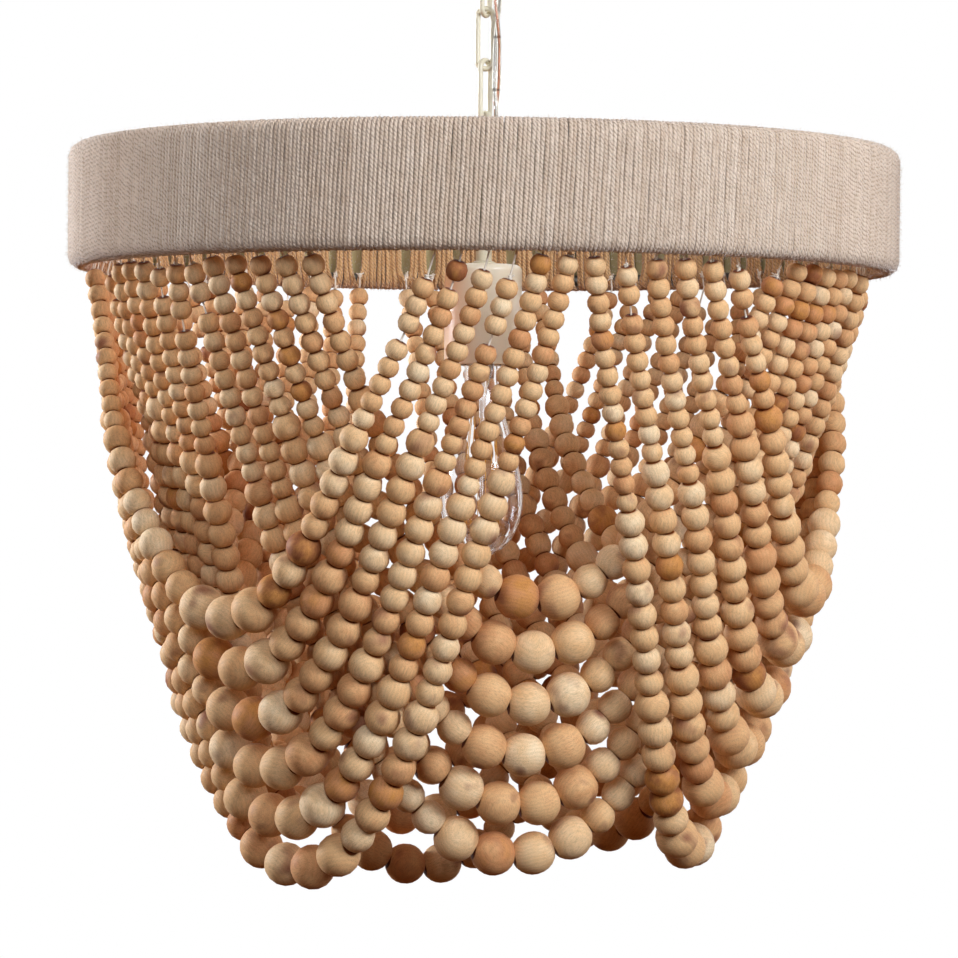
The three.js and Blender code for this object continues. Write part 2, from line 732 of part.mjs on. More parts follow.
// The course of one strand over a chord of the band, bowed out or in where the groups cross
function strandCourse(group, place) {
  const hang = bandInner - (group.inner ? innerHangClearance : outerHangClearance);
  const share = place / (strandsPerGroup - 1);
  const turn = radians(group.turn);
  const halfSpanAngle = radians(mix(...group.spans, share));
  const sag = mix(...group.sags, share);
  const { halfLength, stepLength, points } = hangingCurve(hang * Math.sin(halfSpanAngle), sag);
  const outward = new THREE.Vector3(Math.sin(turn), -Math.cos(turn), 0);
  const sideways = new THREE.Vector3(Math.cos(turn), Math.sin(turn), 0);
  const at = (length) => {
    const steps = Math.min(Math.abs(length) / stepLength, loads.length);
    const whole = Math.min(Math.floor(steps), loads.length - 1);
    const side = mix(points[whole][0], points[whole + 1][0], steps - whole) * stepLength;
    const rise = mix(points[whole][1], points[whole + 1][1], steps - whole) * stepLength;
    const fromEnd = Math.min(1, (halfLength - Math.abs(length)) / (2 * halfLength * bowRiseShare));
    const bow = group.bow * fromEnd * fromEnd * (3 - 2 * fromEnd);
    const point = outward.clone().multiplyScalar(hang * Math.cos(halfSpanAngle) + bow);
    point.addScaledVector(sideways, Math.sign(length) * side);
    point.z = bandBottom + strandLift - sag + rise;
    return point;
  };
  return { at, halfLength, outward, turn, halfSpanAngle };
}

// The beads of one half of a strand, from the middle to the end: how far along each sits, and its kind
function beadRow(halfLength) {
  const usable = halfLength - stringBelowEdge;
  const largeCount = Math.round((2 * usable * largeRunShare) / largeBead.pitch);
  const mediumCount = Math.round((usable * mediumRunShare) / mediumBead.pitch);
  const bigRun = usable * (1 - smallRunShare - mediumRunShare) - (largeCount * largeBead.pitch) / 2;
  const bigCount = Math.round(bigRun / bigBead.pitch);
  const row = [];
  let reach = largeCount % 2 === 1 ? -largeBead.pitch / 2 : 0;
  const addRun = (bead, count, pitch = bead.pitch) => {
    for (let index = 0; index < count; index += 1) {
      row.push({ bead, along: reach + pitch / 2 });
      reach += pitch;
    }
  };
  addRun(largeBead, Math.ceil(largeCount / 2));
  addRun(bigBead, bigCount);
  addRun(mediumBead, mediumCount);
  const smallCount = Math.round((usable - reach) / smallBead.pitch);
  addRun(smallBead, smallCount, (usable - reach) / smallCount);
  return row;
}

// One strand as a solid. The large and the big beads are shaped, and the smaller beads above them are drawn
// as one plain run that narrows from the medium to the small bead.
function strand(group, place) {
  const course = strandCourse(group, place);
  const row = beadRow(course.halfLength);
  const shaped = row.filter(({ bead }) => bead === largeBead || bead === bigBead);
  const lastShaped = shaped.at(-1);
  const runStart = lastShaped.along + lastShaped.bead.pitch / 2;
  const runEnd = row.at(-1).along + smallBead.pitch / 2;
  const half = [];
  if (shaped[0].along > 0) half.push({ along: 0, radius: beadNeckDiameter / 2, sides: stringFacets });
  for (const { bead, along } of shaped) {
    half.push({ along, radius: bead.diameter / 2, sides: beadFacets });
    half.push({ along: along + bead.pitch / 2, radius: beadNeckDiameter / 2, sides: stringFacets });
  }
  for (let step = 0; step <= plainRunSteps; step += 1) {
    const share = step / plainRunSteps;
    const radius = mix(mediumBead.diameter, smallBead.diameter, share) / 2;
    const along = mix(runStart + mediumBead.pitch / 2, runEnd, share);
    half.push({ along, radius, sides: beadFacets });
  }
  half.push({ along: runEnd, radius: stringDiameter / 2, sides: stringFacets });
  half.push({ along: course.halfLength, radius: stringDiameter / 2, sides: stringFacets });
  const ringAt = ({ along, radius, sides }) => {
    const middle = course.at(along);
    const tangent = course.at(along + stringDiameter).sub(course.at(along - stringDiameter)).normalize();
    const across = course.outward.clone().addScaledVector(tangent, -course.outward.dot(tangent)).normalize();
    return { middle, across, along: across.clone().cross(tangent).negate(), radius, sides };
  };
  const seatRing = (way) => {
    const azimuth = course.turn + way * course.halfSpanAngle;
    const radius = stringDiameter / 2;
    const reach = facetRadius(bandInner, bandFacets, azimuth) - seatGap - radius;
    const middle = new THREE.Vector3(reach * Math.sin(azimuth), -reach * Math.cos(azimuth), 0);
    middle.z = bandBottom + stringAboveEdge;
    const across = course.outward;
    const tangent = new THREE.Vector3(0, 0, way);
    return { middle, across, along: across.clone().cross(tangent).negate(), radius, sides: stringFacets };
  };
  const before = half.filter(({ along }) => along > 0).map((ring) => ({ ...ring, along: -ring.along }));
  const rings = [...before.reverse(), ...half].map(ringAt);
  return loft([seatRing(-1), ...rings, seatRing(1)]);
}

const strands = new THREE.Group();
fixture.add(strands);
for (const group of strandGroups) {
  for (let place = 0; place < strandsPerGroup; place += 1) {
    const finish = place % 2 === 0 ? finishes.paleWood : finishes.rosyWood;
    addPiece(strands, `${group.name}_strand_${place + 1}`, strand(group, place), finish);
  }
}

export default chandelier;
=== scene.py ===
"""Looks of a beaded chandelier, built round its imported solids.

Metres, +Z up and -Y towards the front, with the origin on the ceiling. Sizes in the classes are in millimetres.
Each class makes one sub-assembly: it models the pieces, gives them their finish and says what carries them.
"""

import logging
import math
from collections.abc import Callable, Iterable, Sequence
from dataclasses import dataclass, field
from enum import Enum
from functools import cached_property

import bpy
import numpy as np
from mathutils import Matrix, Vector


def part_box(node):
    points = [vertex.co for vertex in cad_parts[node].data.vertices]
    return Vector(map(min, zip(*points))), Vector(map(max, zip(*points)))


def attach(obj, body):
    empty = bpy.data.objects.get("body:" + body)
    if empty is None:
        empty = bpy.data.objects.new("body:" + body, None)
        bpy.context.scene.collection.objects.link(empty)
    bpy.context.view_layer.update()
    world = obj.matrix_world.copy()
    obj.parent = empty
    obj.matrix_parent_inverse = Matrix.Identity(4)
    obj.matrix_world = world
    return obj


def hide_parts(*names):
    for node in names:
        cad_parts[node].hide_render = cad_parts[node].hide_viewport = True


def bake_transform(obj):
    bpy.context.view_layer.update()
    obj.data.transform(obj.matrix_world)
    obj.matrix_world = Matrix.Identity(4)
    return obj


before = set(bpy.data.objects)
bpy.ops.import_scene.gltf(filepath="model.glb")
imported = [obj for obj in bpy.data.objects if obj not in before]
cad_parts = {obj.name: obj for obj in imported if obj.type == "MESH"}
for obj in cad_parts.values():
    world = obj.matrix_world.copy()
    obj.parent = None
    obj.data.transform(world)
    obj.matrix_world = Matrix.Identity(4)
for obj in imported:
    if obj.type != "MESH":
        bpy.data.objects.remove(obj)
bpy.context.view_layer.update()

LOG = logging.getLogger("chandelier")
MM = 0.001
CREAM_SLOT = "cream_paint"
STRANDS_PER_GROUP = 6
HOLE_RADIUS = 1.7
FLAT_SHARE = 0.49
SEAT_GAP = 0.3
TOP_OF_PLY = (1 / 15, 0.0)
WAVE_PERIOD = 0.314

Point = tuple[float, float, float]
Profile = list[tuple[float, float]]
Faces = list[tuple[int, ...]]
Shape = tuple[np.ndarray, Faces]
Draws = np.random.Generator
Piece = bpy.types.Object
Socket = bpy.types.NodeSocket
Value = Socket | float | tuple[float, ...]


def srgb(hex_colour: str) -> tuple[float, float, float, float]:
    """Turns an sRGB hex colour into the linear colour that shaders take.

    Args:
        hex_colour: six hex digits, such as "D8C8B0".

    Returns:
        Red, green, blue and alpha, linear.
    """
    parts = [int(hex_colour[at : at + 2], 16) / 255 for at in (0, 2, 4)]
    linear = [part / 12.92 if part <= 0.04045 else ((part + 0.055) / 1.055) ** 2.4 for part in parts]
    return (*linear, 1.0)


class Nodes:
    """Adds nodes to a tree. An input is linked where its value is another node's output, and set elsewhere."""

    def __init__(self, tree: bpy.types.NodeTree) -> None:
        """Keeps the tree.

        Args:
            tree: the tree that gets the nodes.
        """
        self.tree = tree

    def feed(self, node: bpy.types.Node, inputs: dict[str | int, Value]) -> None:
        """Fills a node's inputs.

        Args:
            node: the node.
            inputs: the value of each input, by name or number.
        """
        for label, value in inputs.items():
            if isinstance(value, Socket):
                self.tree.links.new(value, node.inputs[label])
            else:
                node.inputs[label].default_value = value

    def add(self, kind: str, inputs: dict[str | int, Value] | None = None, **settings: str) -> Sequence[Socket]:
        """Adds one node.

        Args:
            kind: the node's type, without "ShaderNode".
            inputs: the value of each input, by name or number.
            settings: the node's own properties.

        Returns:
            The node's outputs.
        """
        node = self.tree.nodes.new(f"ShaderNode{kind}")
        for name, value in settings.items():
            setattr(node, name, value)
        self.feed(node, inputs or {})
        return node.outputs

    def noise(self, vector: Socket, size: float, detail: float, roughness: float = 0.5) -> Socket:
        """Adds noise.

        Args:
            vector: its coordinates.
            size: size of its patches, in units of the coordinates.
            detail: how many finer layers it has.
            roughness: strength of the finer layers.

        Returns:
            Values from 0 to 1.
        """
        inputs = {"Vector": vector, "Scale": 1 / size, "Detail": detail, "Roughness": roughness}
        return self.add("TexNoise", inputs)["Fac"]

    def calc(self, operation: str, *values: Value) -> Socket:
        """Works out one number.

        Args:
            operation: the math node's operation.
            values: what it works on.

        Returns:
            The result.
        """
        return self.add("Math", dict(enumerate(values)), operation=operation)[0]

    def spread(self, value: Socket, start: float, end: float, low: float = 0.0, high: float = 1.0) -> Socket:
        """Stretches a range of values over another, and clamps what lies outside it.

        Args:
            value: what is stretched.
            start: the value that becomes low.
            end: the value that becomes high.
            low: first end of the new range.
            high: last end of the new range.

        Returns:
            The stretched value.
        """
        inputs = {"Value": value, "From Min": start, "From Max": end, "To Min": low, "To Max": high}
        return self.add("MapRange", inputs)["Result"]

    def mix(self, share: Value, first: Value, second: Value, blend: str = "MIX") -> Socket:
        """Mixes two colours.

        Args:
            share: how much of the second colour shows.
            first: the first colour.
            second: the second colour.
            blend: how the second is laid over the first.

        Returns:
            The mixed colour.
        """
        return self.add("Mix", {0: share, 6: first, 7: second}, data_type="RGBA", blend_type=blend)[2]

    def ramp(self, value: Socket, stops: Sequence[tuple[float, str]]) -> Socket:
        """Turns a value into a colour.

        Args:
            value: from 0 to 1.
            stops: each stop's place from 0 to 1 and its sRGB hex colour.

        Returns:
            The colour.
        """
        node = self.tree.nodes.new("ShaderNodeValToRGB")
        elements = node.color_ramp.elements
        while len(elements) < len(stops):
            elements.new(0.5)
        for element, (place, colour) in zip(elements, stops):
            element.position = place
            element.color = srgb(colour)
        self.feed(node, {0: value})
        return node.outputs["Color"]


class Surface(Nodes):
    """A material with one Principled shader."""

    def __init__(self, name: str, **inputs: Value) -> None:
        """Starts the material.

        Args:
            name: the material's name.
            inputs: shader inputs, with underscores for spaces.
        """
        self.material = bpy.data.materials.new(name)
        self.material.use_nodes = True
        super().__init__(self.material.node_tree)
        self.shader = self.tree.nodes["Principled BSDF"]
        self.set(**inputs)

    def set(self, **inputs: Value) -> None:
        """Fills the shader's inputs.

        Args:
            inputs: shader inputs, with underscores for spaces.
        """
        self.feed(self.shader, {label.replace("_", " "): value for label, value in inputs.items()})

    @cached_property
    def space(self) -> Socket:
        """The piece's own coordinates, in metres."""
        return self.add("TexCoord")["Object"]

    def mottle(self, size: float, detail: float) -> Socket:
        """Adds noise over the piece.

        Args:
            size: size of its patches, in millimetres.
            detail: how many finer layers it has.

        Returns:
            Values from 0 to 1.
        """
        return self.noise(self.space, size * MM, detail)

    def attribute(self, name: str, output: str = "Fac") -> Socket:
        """Reads an attribute of the piece.

        Args:
            name: the attribute's name.
            output: "Fac" for a number or "Vector" for a vector.

        Returns:
            Its value.
        """
        return self.add("Attribute", attribute_name=name)[output]

    def relief(self, height: Socket, strength: float, depth: float, under: Socket | None = None) -> Socket:
        """Adds a bump and gives it to the shader.

        Args:
            height: the relief, from 0 to 1.
            strength: how much of it shows.
            depth: its height, in millimetres.
            under: normals of a coarser bump below it.

        Returns:
            The bumped normals.
        """
        inputs = {"Height": height, "Strength": strength, "Distance": depth * MM}
        normal = self.add("Bump", inputs | ({"Normal": under} if under else {}))["Normal"]
        self.set(Normal=normal)
        return normal


@dataclass(frozen=True)
class SandedWood:
    """Raw sanded wood of the beads, beech and maple mixed. Dry, matt and fine grained, each bead its own tone. Painted
    shade darkens the flat ends where beads touch, and the holes through them.
    """

    name: str = "raw_sanded_wood"
    tones: tuple[tuple[float, str], ...] = (
        (0.0, "ECD2AA"), (0.18, "E4C092"), (0.38, "DDB17E"), (0.56, "D4A16F"), (0.74, "C78B5C"),
        (0.88, "C28648"), (1.0, "955C3A"),
    )
    heart: str = "8C5440"
    # Painted shade: this dark brown is multiplied in at the flat ends, where neighbouring beads shade each other.
    seam_shade: str = "82502A"
    ring_spacing: float = 2.6
    fleck_width: float = 0.5
    fleck_length: float = 3.0
    patch_size: float = 12.0
    heart_size: float = 22.0

    def build(self) -> bpy.types.Material:
        """Builds the material from the bead_tone, bead_place, bead_local and bead_seam_shade attributes of each bead."""
        wood = Surface(self.name, Roughness=0.6, Specular_IOR_Level=0.12)
        place, local = (wood.attribute(name, "Vector") for name in ("bead_place", "bead_local"))
        stretch = (1 / self.fleck_width, 1 / self.fleck_width, 1 / self.fleck_length)
        flecks = wood.noise(wood.add("Mapping", {"Vector": place, "Scale": stretch})["Vector"], 1.0, 3.0, 0.6)
        wave = {"Scale": WAVE_PERIOD / self.ring_spacing, "Distortion": 6.0, "Detail": 2.0, "Detail Scale": 0.6}
        rings = wood.add("TexWave", {"Vector": place} | wave)["Fac"]
        patches = wood.calc("SUBTRACT", wood.noise(place, self.patch_size, 3.0), 0.5)
        tone = wood.ramp(wood.calc("MULTIPLY_ADD", patches, 0.5, wood.attribute("bead_tone")), self.tones)
        heart_share = wood.spread(wood.noise(place, self.heart_size, 1.0), 0.64, 0.8, 0.0, 0.9)
        hearted = wood.mix(heart_share, tone, srgb(self.heart))
        pores, growth = wood.spread(flecks, 0.46, 0.7, 1.04, 0.7), wood.spread(rings, 0.0, 1.0, 0.93, 1.02)
        grained = wood.mix(1.0, hearted, wood.calc("MULTIPLY", pores, growth), "MULTIPLY")
        # Painted shade: round the string's axis each bead is darkened to about an eighth of its tone, in place of the
        # shade inside its hole.
        across = wood.add("VectorMath", {0: local, 1: (1.0, 1.0, 0.0)}, operation="MULTIPLY")["Vector"]
        from_hole = wood.add("VectorMath", {0: across}, operation="LENGTH")["Value"]
        hole_shade = wood.spread(from_hole, HOLE_RADIUS * 0.85, HOLE_RADIUS * 1.25, 0.12, 1.0)
        # Painted shade at each bead's flat ends, strongest at the joint with the next bead.
        near_seam = wood.calc("POWER", wood.attribute("bead_seam_shade"), 3.0)
        hole_shaded = wood.mix(1.0, grained, hole_shade, "MULTIPLY")
        wood.set(Base_Color=wood.mix(near_seam, hole_shaded, srgb(self.seam_shade), "MULTIPLY"))
        wood.relief(flecks, 0.25, 0.1)
        return wood.material


@dataclass(frozen=True)
class CottonTwine:
    """Three-ply natural cotton twine. Soft and dull, with a lay that shows as slanted dashes along each turn: a bump
    and painted shade in the creases between plies.
    """

    name: str = "natural_cotton_twine"
    light: str = "DECAB5"
    dark: str = "CAB29A"
    # Painted shade in the creases between plies.
    groove: str = "937B66"
    # Painted shade: multiplied into the twine on the band's inside, making it warmer and darker.
    shade: str = "FBE1B6"
    clearness: float = 0.0
    plies: float = 3.0
    unevenness: float = 0.6

    def build(self) -> bpy.types.Material:
        """Builds the material. UV x goes round the twine once and UV y counts lays along it. Where inner_side is set, a
        warmer, darker painted shade is multiplied in.
        """
        twine = Surface(
            self.name, Roughness=0.9, Specular_IOR_Level=0.15, Transmission_Weight=self.clearness,
            Sheen_Weight=0.6, Sheen_Roughness=0.4,
        )
        around = twine.add("SeparateXYZ", {0: twine.add("UVMap", uv_map="lay")["UV"]})
        start = twine.calc("MULTIPLY_ADD", twine.mottle(2.2, 2.0), self.unevenness, around["Y"])
        phase = twine.calc("MULTIPLY_ADD", around["X"], self.plies, start)
        ply = twine.calc("ABSOLUTE", twine.calc("SINE", twine.calc("MULTIPLY", phase, math.pi)))
        slub = twine.calc("MULTIPLY_ADD", twine.attribute("turn_tone"), 0.5, twine.mottle(9.0, 2.0))
        yarn = twine.mix(twine.spread(slub, 0.35, 1.1), srgb(self.dark), srgb(self.light))
        # Painted shade: the groove colour fills the creases between plies, except in patches where loose fibre fills
        # them.
        fuzz_filled = twine.spread(twine.mottle(4.0, 2.0), 0.44, 0.62, 0.0, 0.9)
        valley = twine.calc("MAXIMUM", twine.spread(ply, 0.0, 0.65), fuzz_filled)
        laid = twine.mix(valley, srgb(self.groove), yarn)
        # Painted shade and painted warm bounce light: the twine inside the drum is tinted warmer and darker than the
        # same twine outside.
        twine.set(Base_Color=twine.mix(twine.attribute("inner_side"), laid, srgb(self.shade), "MULTIPLY"))
        twine.relief(twine.mottle(0.7, 3.0), 0.5, 0.35, twine.relief(ply, 0.7, 0.45))
        return twine.material


@dataclass(frozen=True)
class WovenCloth:
    """Plain woven strip behind the twine. A dull olive cream with a fine thread."""

    name: str = "woven_liner_cloth"
    light: str = "CABB8C"
    dark: str = "AE9D6D"
    thread_spacing: float = 0.9

    def build(self) -> bpy.types.Material:
        """Builds the material from wavy threads and a slow change of tone."""
        cloth = Surface(self.name, Roughness=0.85, Specular_IOR_Level=0.2)
        wave = {"Vector": cloth.space, "Scale": 1 / (self.thread_spacing * MM * 20), "Distortion": 1.5}
        cloth.set(Base_Color=cloth.mix(cloth.mottle(20, 3.0), srgb(self.dark), srgb(self.light)))
        cloth.relief(cloth.add("TexWave", wave, bands_direction="Z")["Fac"], 0.3, 0.2)
        return cloth.material


@dataclass(frozen=True)
class SprayedPaint:
    """Sprayed paint or enamel on steel. Slightly uneven in tone, with a fine ripple and a soft gloss."""

    name: str
    light: str
    dark: str
    roughness: float
    coat: float
    patch_size: float = 12.0
    ripple: float = 1.5
    ripple_height: float = 0.06

    def build(self) -> bpy.types.Material:
        """Builds the material: two close tones, a ripple bump and a thin clear coat."""
        paint = Surface(self.name, Roughness=self.roughness, Coat_Weight=self.coat, Coat_Roughness=0.18)
        paint.set(Base_Color=paint.mix(paint.mottle(self.patch_size, 4.0), srgb(self.dark), srgb(self.light)))
        paint.relief(paint.mottle(self.ripple, 2.0), 0.3, self.ripple_height)
        return paint.material


@dataclass(frozen=True)
class BareMetal:
    """Bare or plated metal: drawn, rolled or spun, with a fine uneven gloss."""

    name: str
    light: str
    dark: str
    roughness: float
    spots: float = 4.0

    def build(self) -> bpy.types.Material:
        """Builds the material: a metal of two close tones whose gloss varies a little."""
        metal = Surface(self.name, Metallic=1.0)
        spots = metal.mottle(self.spots, 3.0)
        metal.set(
            Base_Color=metal.mix(spots, srgb(self.dark), srgb(self.light)),
            Roughness=metal.spread(spots, 0.0, 1.0, self.roughness * 0.8, self.roughness * 1.25),
        )
        return metal.material


@dataclass(frozen=True)
class ClearSolid:
    """Clear blown glass or clear vinyl, with faint waves in its skin."""

    name: str
    colour: str
    ior: float
    roughness: float
    wave: float
    wave_height: float

    def build(self) -> bpy.types.Material:
        """Builds the material: full transmission and a slow bump."""
        clear = Surface(
            self.name, Base_Color=srgb(self.colour), Roughness=self.roughness, IOR=self.ior, Transmission_Weight=1.0
        )
        clear.relief(clear.mottle(self.wave, 1.0), 0.2, self.wave_height)
        return clear.material


@dataclass(frozen=True)
class GoldFilament:
    """Amber carbon filament, drawn thicker than real so that it shows, with faint painted light in it, though the bulb
    is not lit.
    """

    name: str = "amber_filament"
    light: str = "D79A35"
    dark: str = "A86C1C"
    # Painted light: emission strength of the unlit wire.
    painted_glow: float = 0.35

    def build(self) -> bpy.types.Material:
        """Builds the material, with its tone varied along the wire."""
        # Painted light: a faint emission in the wire's light tone, though no current runs in it.
        wire = Surface(self.name, Roughness=0.4, Emission_Strength=self.painted_glow, Emission_Color=srgb(self.light))
        wire.set(Base_Color=wire.mix(wire.mottle(3, 1.0), srgb(self.dark), srgb(self.light)))
        return wire.material


@dataclass(frozen=True)
class StudioSurface:
    """Plain pale floor. It throws a warmer, darker light up at the lamp, and can't be seen from below."""

    name: str = "pale_floor"
    light: str = "E8E6E2"
    dark: str = "E3E1DC"
    thrown: str = "B08656"
    lift_colour: str = "F0FBFF"
    lift: float = 0.68
    waves_per_metre: float = 1.5

    def build(self) -> bpy.types.Material:
        """Builds the material: rough, faintly uneven, and lifted to a pale tone where the camera sees it."""
        floor = Surface(self.name, Roughness=0.9, Specular_IOR_Level=0.1, Emission_Color=srgb(self.lift_colour))
        slow = floor.noise(floor.space, 1 / self.waves_per_metre, 2.0)
        path = floor.add("LightPath")
        seen = floor.calc("MAXIMUM", path["Is Camera Ray"], path["Is Transmission Ray"])
        tone = floor.mix(slow, srgb(self.dark), srgb(self.light))
        floor.set(
            Base_Color=floor.mix(seen, srgb(self.thrown), tone),
            Emission_Strength=floor.calc("MULTIPLY", seen, self.lift),
        )
        below, clear = floor.add("NewGeometry")["Backfacing"], floor.add("BsdfTransparent")[0]
        one_sided = floor.add("MixShader", {0: below, 1: floor.shader.outputs[0], 2: clear})[0]
        floor.feed(floor.tree.nodes["Material Output"], {"Surface": one_sided})
        return floor.material


class Finish(Enum):
    """The finishes of this lamp. Each is built once, when a piece first asks for it."""

    WOOD = SandedWood()
    TWINE = CottonTwine()
    STRING = CottonTwine("white_cotton_string", "FFF9EC", "F7ECD9", "E8DAC4", "FFFFFF", 0.2)
    FIBRE = CottonTwine("loose_cotton_fibre", "EFE5D6", "E6DACA", "D6C8B6", "FFEAC6")
    LINER = WovenCloth()
    CREAM_PAINT = SprayedPaint("cream_spray_paint", "DDD5BB", "CBC1A3", 0.42, 0.15)
    ENAMEL = SprayedPaint("cream_stove_enamel", "FDF3D8", "F6EACB", 0.3, 0.35, 22.0, 3.0, 0.08)
    PORCELAIN = SprayedPaint("glazed_porcelain", "EFECE4", "E2DED3", 0.22, 0.5)
    ZINC = BareMetal("zinc_plated_steel", "B9B8B2", "8F8E88", 0.38)
    ROD = BareMetal("drawn_steel_rod", "98968E", "6F6D66", 0.45)
    BRASS = BareMetal("rolled_brass_shell", "D3B06A", "A98444", 0.3)
    COPPER = BareMetal("stranded_copper", "BD8361", "8A5238", 0.4, 1.2)
    TINNED = BareMetal("stranded_tinned_copper", "B5B1AA", "86817A", 0.4, 1.2)
    GLASS = ClearSolid("clear_blown_glass", "FFFFFF", 1.45, 0.0, 30.0, 0.4)
    VINYL = ClearSolid("clear_soft_vinyl", "EDEAE2", 1.45, 0.05, 12.0, 0.3)
    FILAMENT = GoldFilament()
    FLOOR = StudioSurface()

    def material(self) -> bpy.types.Material:
        """Gives this finish's material, building it the first time."""
        return bpy.data.materials.get(self.value.name) or self.value.build()


def deselect_all() -> None:
    """Leaves edit mode and deselects every object, so that an operator acts on new work only."""
    if bpy.context.object and bpy.context.object.mode != "OBJECT":
        bpy.ops.object.mode_set(mode="OBJECT")
    bpy.ops.object.select_all(action="DESELECT")


def activate(piece: Piece, edit: bool = False) -> None:
    """Makes an object the only selected one.

    Args:
        piece: the object.
        edit: True to go into edit mode.
    """
    deselect_all()
    piece.select_set(True)
    bpy.context.view_layer.objects.active = piece
    if edit:
        bpy.ops.object.mode_set(mode="EDIT")


def link(name: str, data: bpy.types.ID, place: Point = (0, 0, 0)) -> Piece:
    """Puts a mesh, a lamp or a camera in the scene.

    Args:
        name: the object's name.
        data: what it holds.
        place: where it is, in metres.

    Returns:
        The object.
    """
    holder = bpy.data.objects.new(name, data)
    bpy.context.scene.collection.objects.link(holder)
    holder.location = place
    return holder


def primitive(name: str, kind: str, **settings: object) -> Piece:
    """Adds a ready-made mesh.

    Args:
        name: the object's name.
        kind: which mesh, such as "torus".
        settings: what its operator takes.

    Returns:
        The object.
    """
    deselect_all()
    getattr(bpy.ops.mesh, f"primitive_{kind}_add")(**settings)
    piece = bpy.context.object
    piece.name = name
    return piece


def pick(piece: Piece, chosen: Callable[[Vector], bool]) -> None:
    """Selects a mesh's vertices by their place, in edit mode.

    Args:
        piece: the active mesh object, in edit mode.
        chosen: says for a vertex's place whether it is selected.
    """
    bpy.ops.mesh.select_all(action="DESELECT")
    bpy.ops.object.mode_set(mode="OBJECT")
    for vertex in piece.data.vertices:
        vertex.select = chosen(vertex.co)
    bpy.ops.object.mode_set(mode="EDIT")
    bpy.ops.mesh.select_mode(type="VERT")


def settle(piece: Piece, angle: float = 40.0) -> Piece:
    """Applies an object's place to its mesh, so that the object sits at the origin, and shades it.

    Args:
        piece: the object to settle.
        angle: edges sharper than this many degrees stay crisp, and all of them at 0.

    Returns:
        The same object.
    """
    activate(piece)
    bpy.ops.object.transform_apply(location=True, rotation=True, scale=True)
    if angle:
        bpy.ops.object.shade_smooth_by_angle(angle=math.radians(angle))
    return piece


def carry(piece: Piece, body: str, finish: Finish, slot: str, *stands_for: str) -> None:
    """Gives a finished piece its material, its body and what it stands for.

    Args:
        piece: the piece, in place.
        body: the body that carries it.
        finish: its finish.
        slot: the record's material slot. Not used.
        stands_for: the solids that it replaces.
    """
    piece.data.materials.clear()
    piece.data.materials.append(finish.material())
    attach(piece, body)
    if stands_for:
        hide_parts(*stands_for)
    LOG.info("%s rides on %s, %d faces", piece.name, body, len(piece.data.polygons))


def painted(piece: Piece, body: str, *stands_for: str) -> None:
    """Carries a piece in the cream paint of the lamp's metalwork.

    Args:
        piece: the piece, in place.
        body: the body that carries it.
        stands_for: the solids that it replaces.
    """
    carry(piece, body, Finish.CREAM_PAINT, CREAM_SLOT, *stands_for)


def spun(name: str, profile: Profile, steps: int = 64, smooth_angle: float = 40.0) -> Piece:
    """Turns a profile round the upright axis.

    Args:
        name: the piece's name.
        profile: radius and height of each point in metres. The profile is closed unless it meets the axis.
        steps: facets round the axis.
        smooth_angle: edges sharper than this many degrees stay crisp.

    Returns:
        The turned piece.
    """
    on_axis = profile[0][0] == 0 and profile[-1][0] == 0
    count = len(profile)
    edges = [(at, at + 1) for at in range(count - 1)] + ([] if on_axis else [(count - 1, 0)])
    mesh = bpy.data.meshes.new(name)
    mesh.from_pydata([(radius, 0.0, height) for radius, height in profile], edges, [])
    piece = link(name, mesh)
    activate(piece, edit=True)
    bpy.ops.mesh.select_all(action="SELECT")
    bpy.ops.mesh.spin(steps=steps, angle=2 * math.pi, center=(0, 0, 0), axis=(0, 0, 1))
    bpy.ops.mesh.select_all(action="SELECT")
    bpy.ops.mesh.remove_doubles(threshold=0.001 * MM)
    bpy.ops.mesh.normals_make_consistent(inside=False)
    bpy.ops.object.mode_set(mode="OBJECT")
    return settle(piece, smooth_angle)


def round_points(radius: float, height: float, bend: float, start: float, end: float, steps: int = 6) -> Profile:
    """Points of a profile round a corner.

    Args:
        radius: distance from the axis to the bend's middle.
        height: height of the bend's middle.
        bend: the bend's radius.
        start: first angle in degrees, from straight out.
        end: last angle in degrees.
        steps: segments round the bend.

    Returns:
        The points from start to end.
    """
    angles = [math.radians(start + (end - start) * step / steps) for step in range(steps + 1)]
    return [(radius + bend * math.cos(angle), height + bend * math.sin(angle)) for angle in angles]


def tube_shape(points: np.ndarray, radius: float | np.ndarray, sides: int) -> Shape:
    """A round tube through points, closed at both ends.

    Args:
        points: the middle line, one row each.
        radius: one radius, or one for each point.
        sides: facets round the tube.

    Returns:
        The vertices and the faces.
    """
    tangents = np.gradient(points, axis=0)
    tangents /= np.linalg.norm(tangents, axis=1)[:, None]
    off_every_line = [0.31, 0.87, 0.39]
    normal = np.cross(tangents[0], off_every_line)
    normals = []
    for tangent in tangents:
        normal = normal - tangent * float(np.dot(normal, tangent))
        normal = normal / np.linalg.norm(normal)
        normals.append(normal)
    across = np.array(normals)
    up = np.cross(tangents, across)
    angles = np.arange(sides) * 2 * math.pi / sides
    radii = np.broadcast_to(np.asarray(radius, float), (len(points),))[:, None, None]
    ring = across[:, None, :] * np.cos(angles)[None, :, None] + up[:, None, :] * np.sin(angles)[None, :, None]
    verts = (points[:, None, :] + ring * radii).reshape(-1, 3)
    last = (len(points) - 1) * sides
    faces = [
        (low + side, low + (side + 1) % sides, low + sides + (side + 1) % sides, low + sides + side)
        for low in range(0, last, sides)
        for side in range(sides)
    ]
    return verts, [*faces, tuple(range(sides - 1, -1, -1)), tuple(range(last, last + sides))]


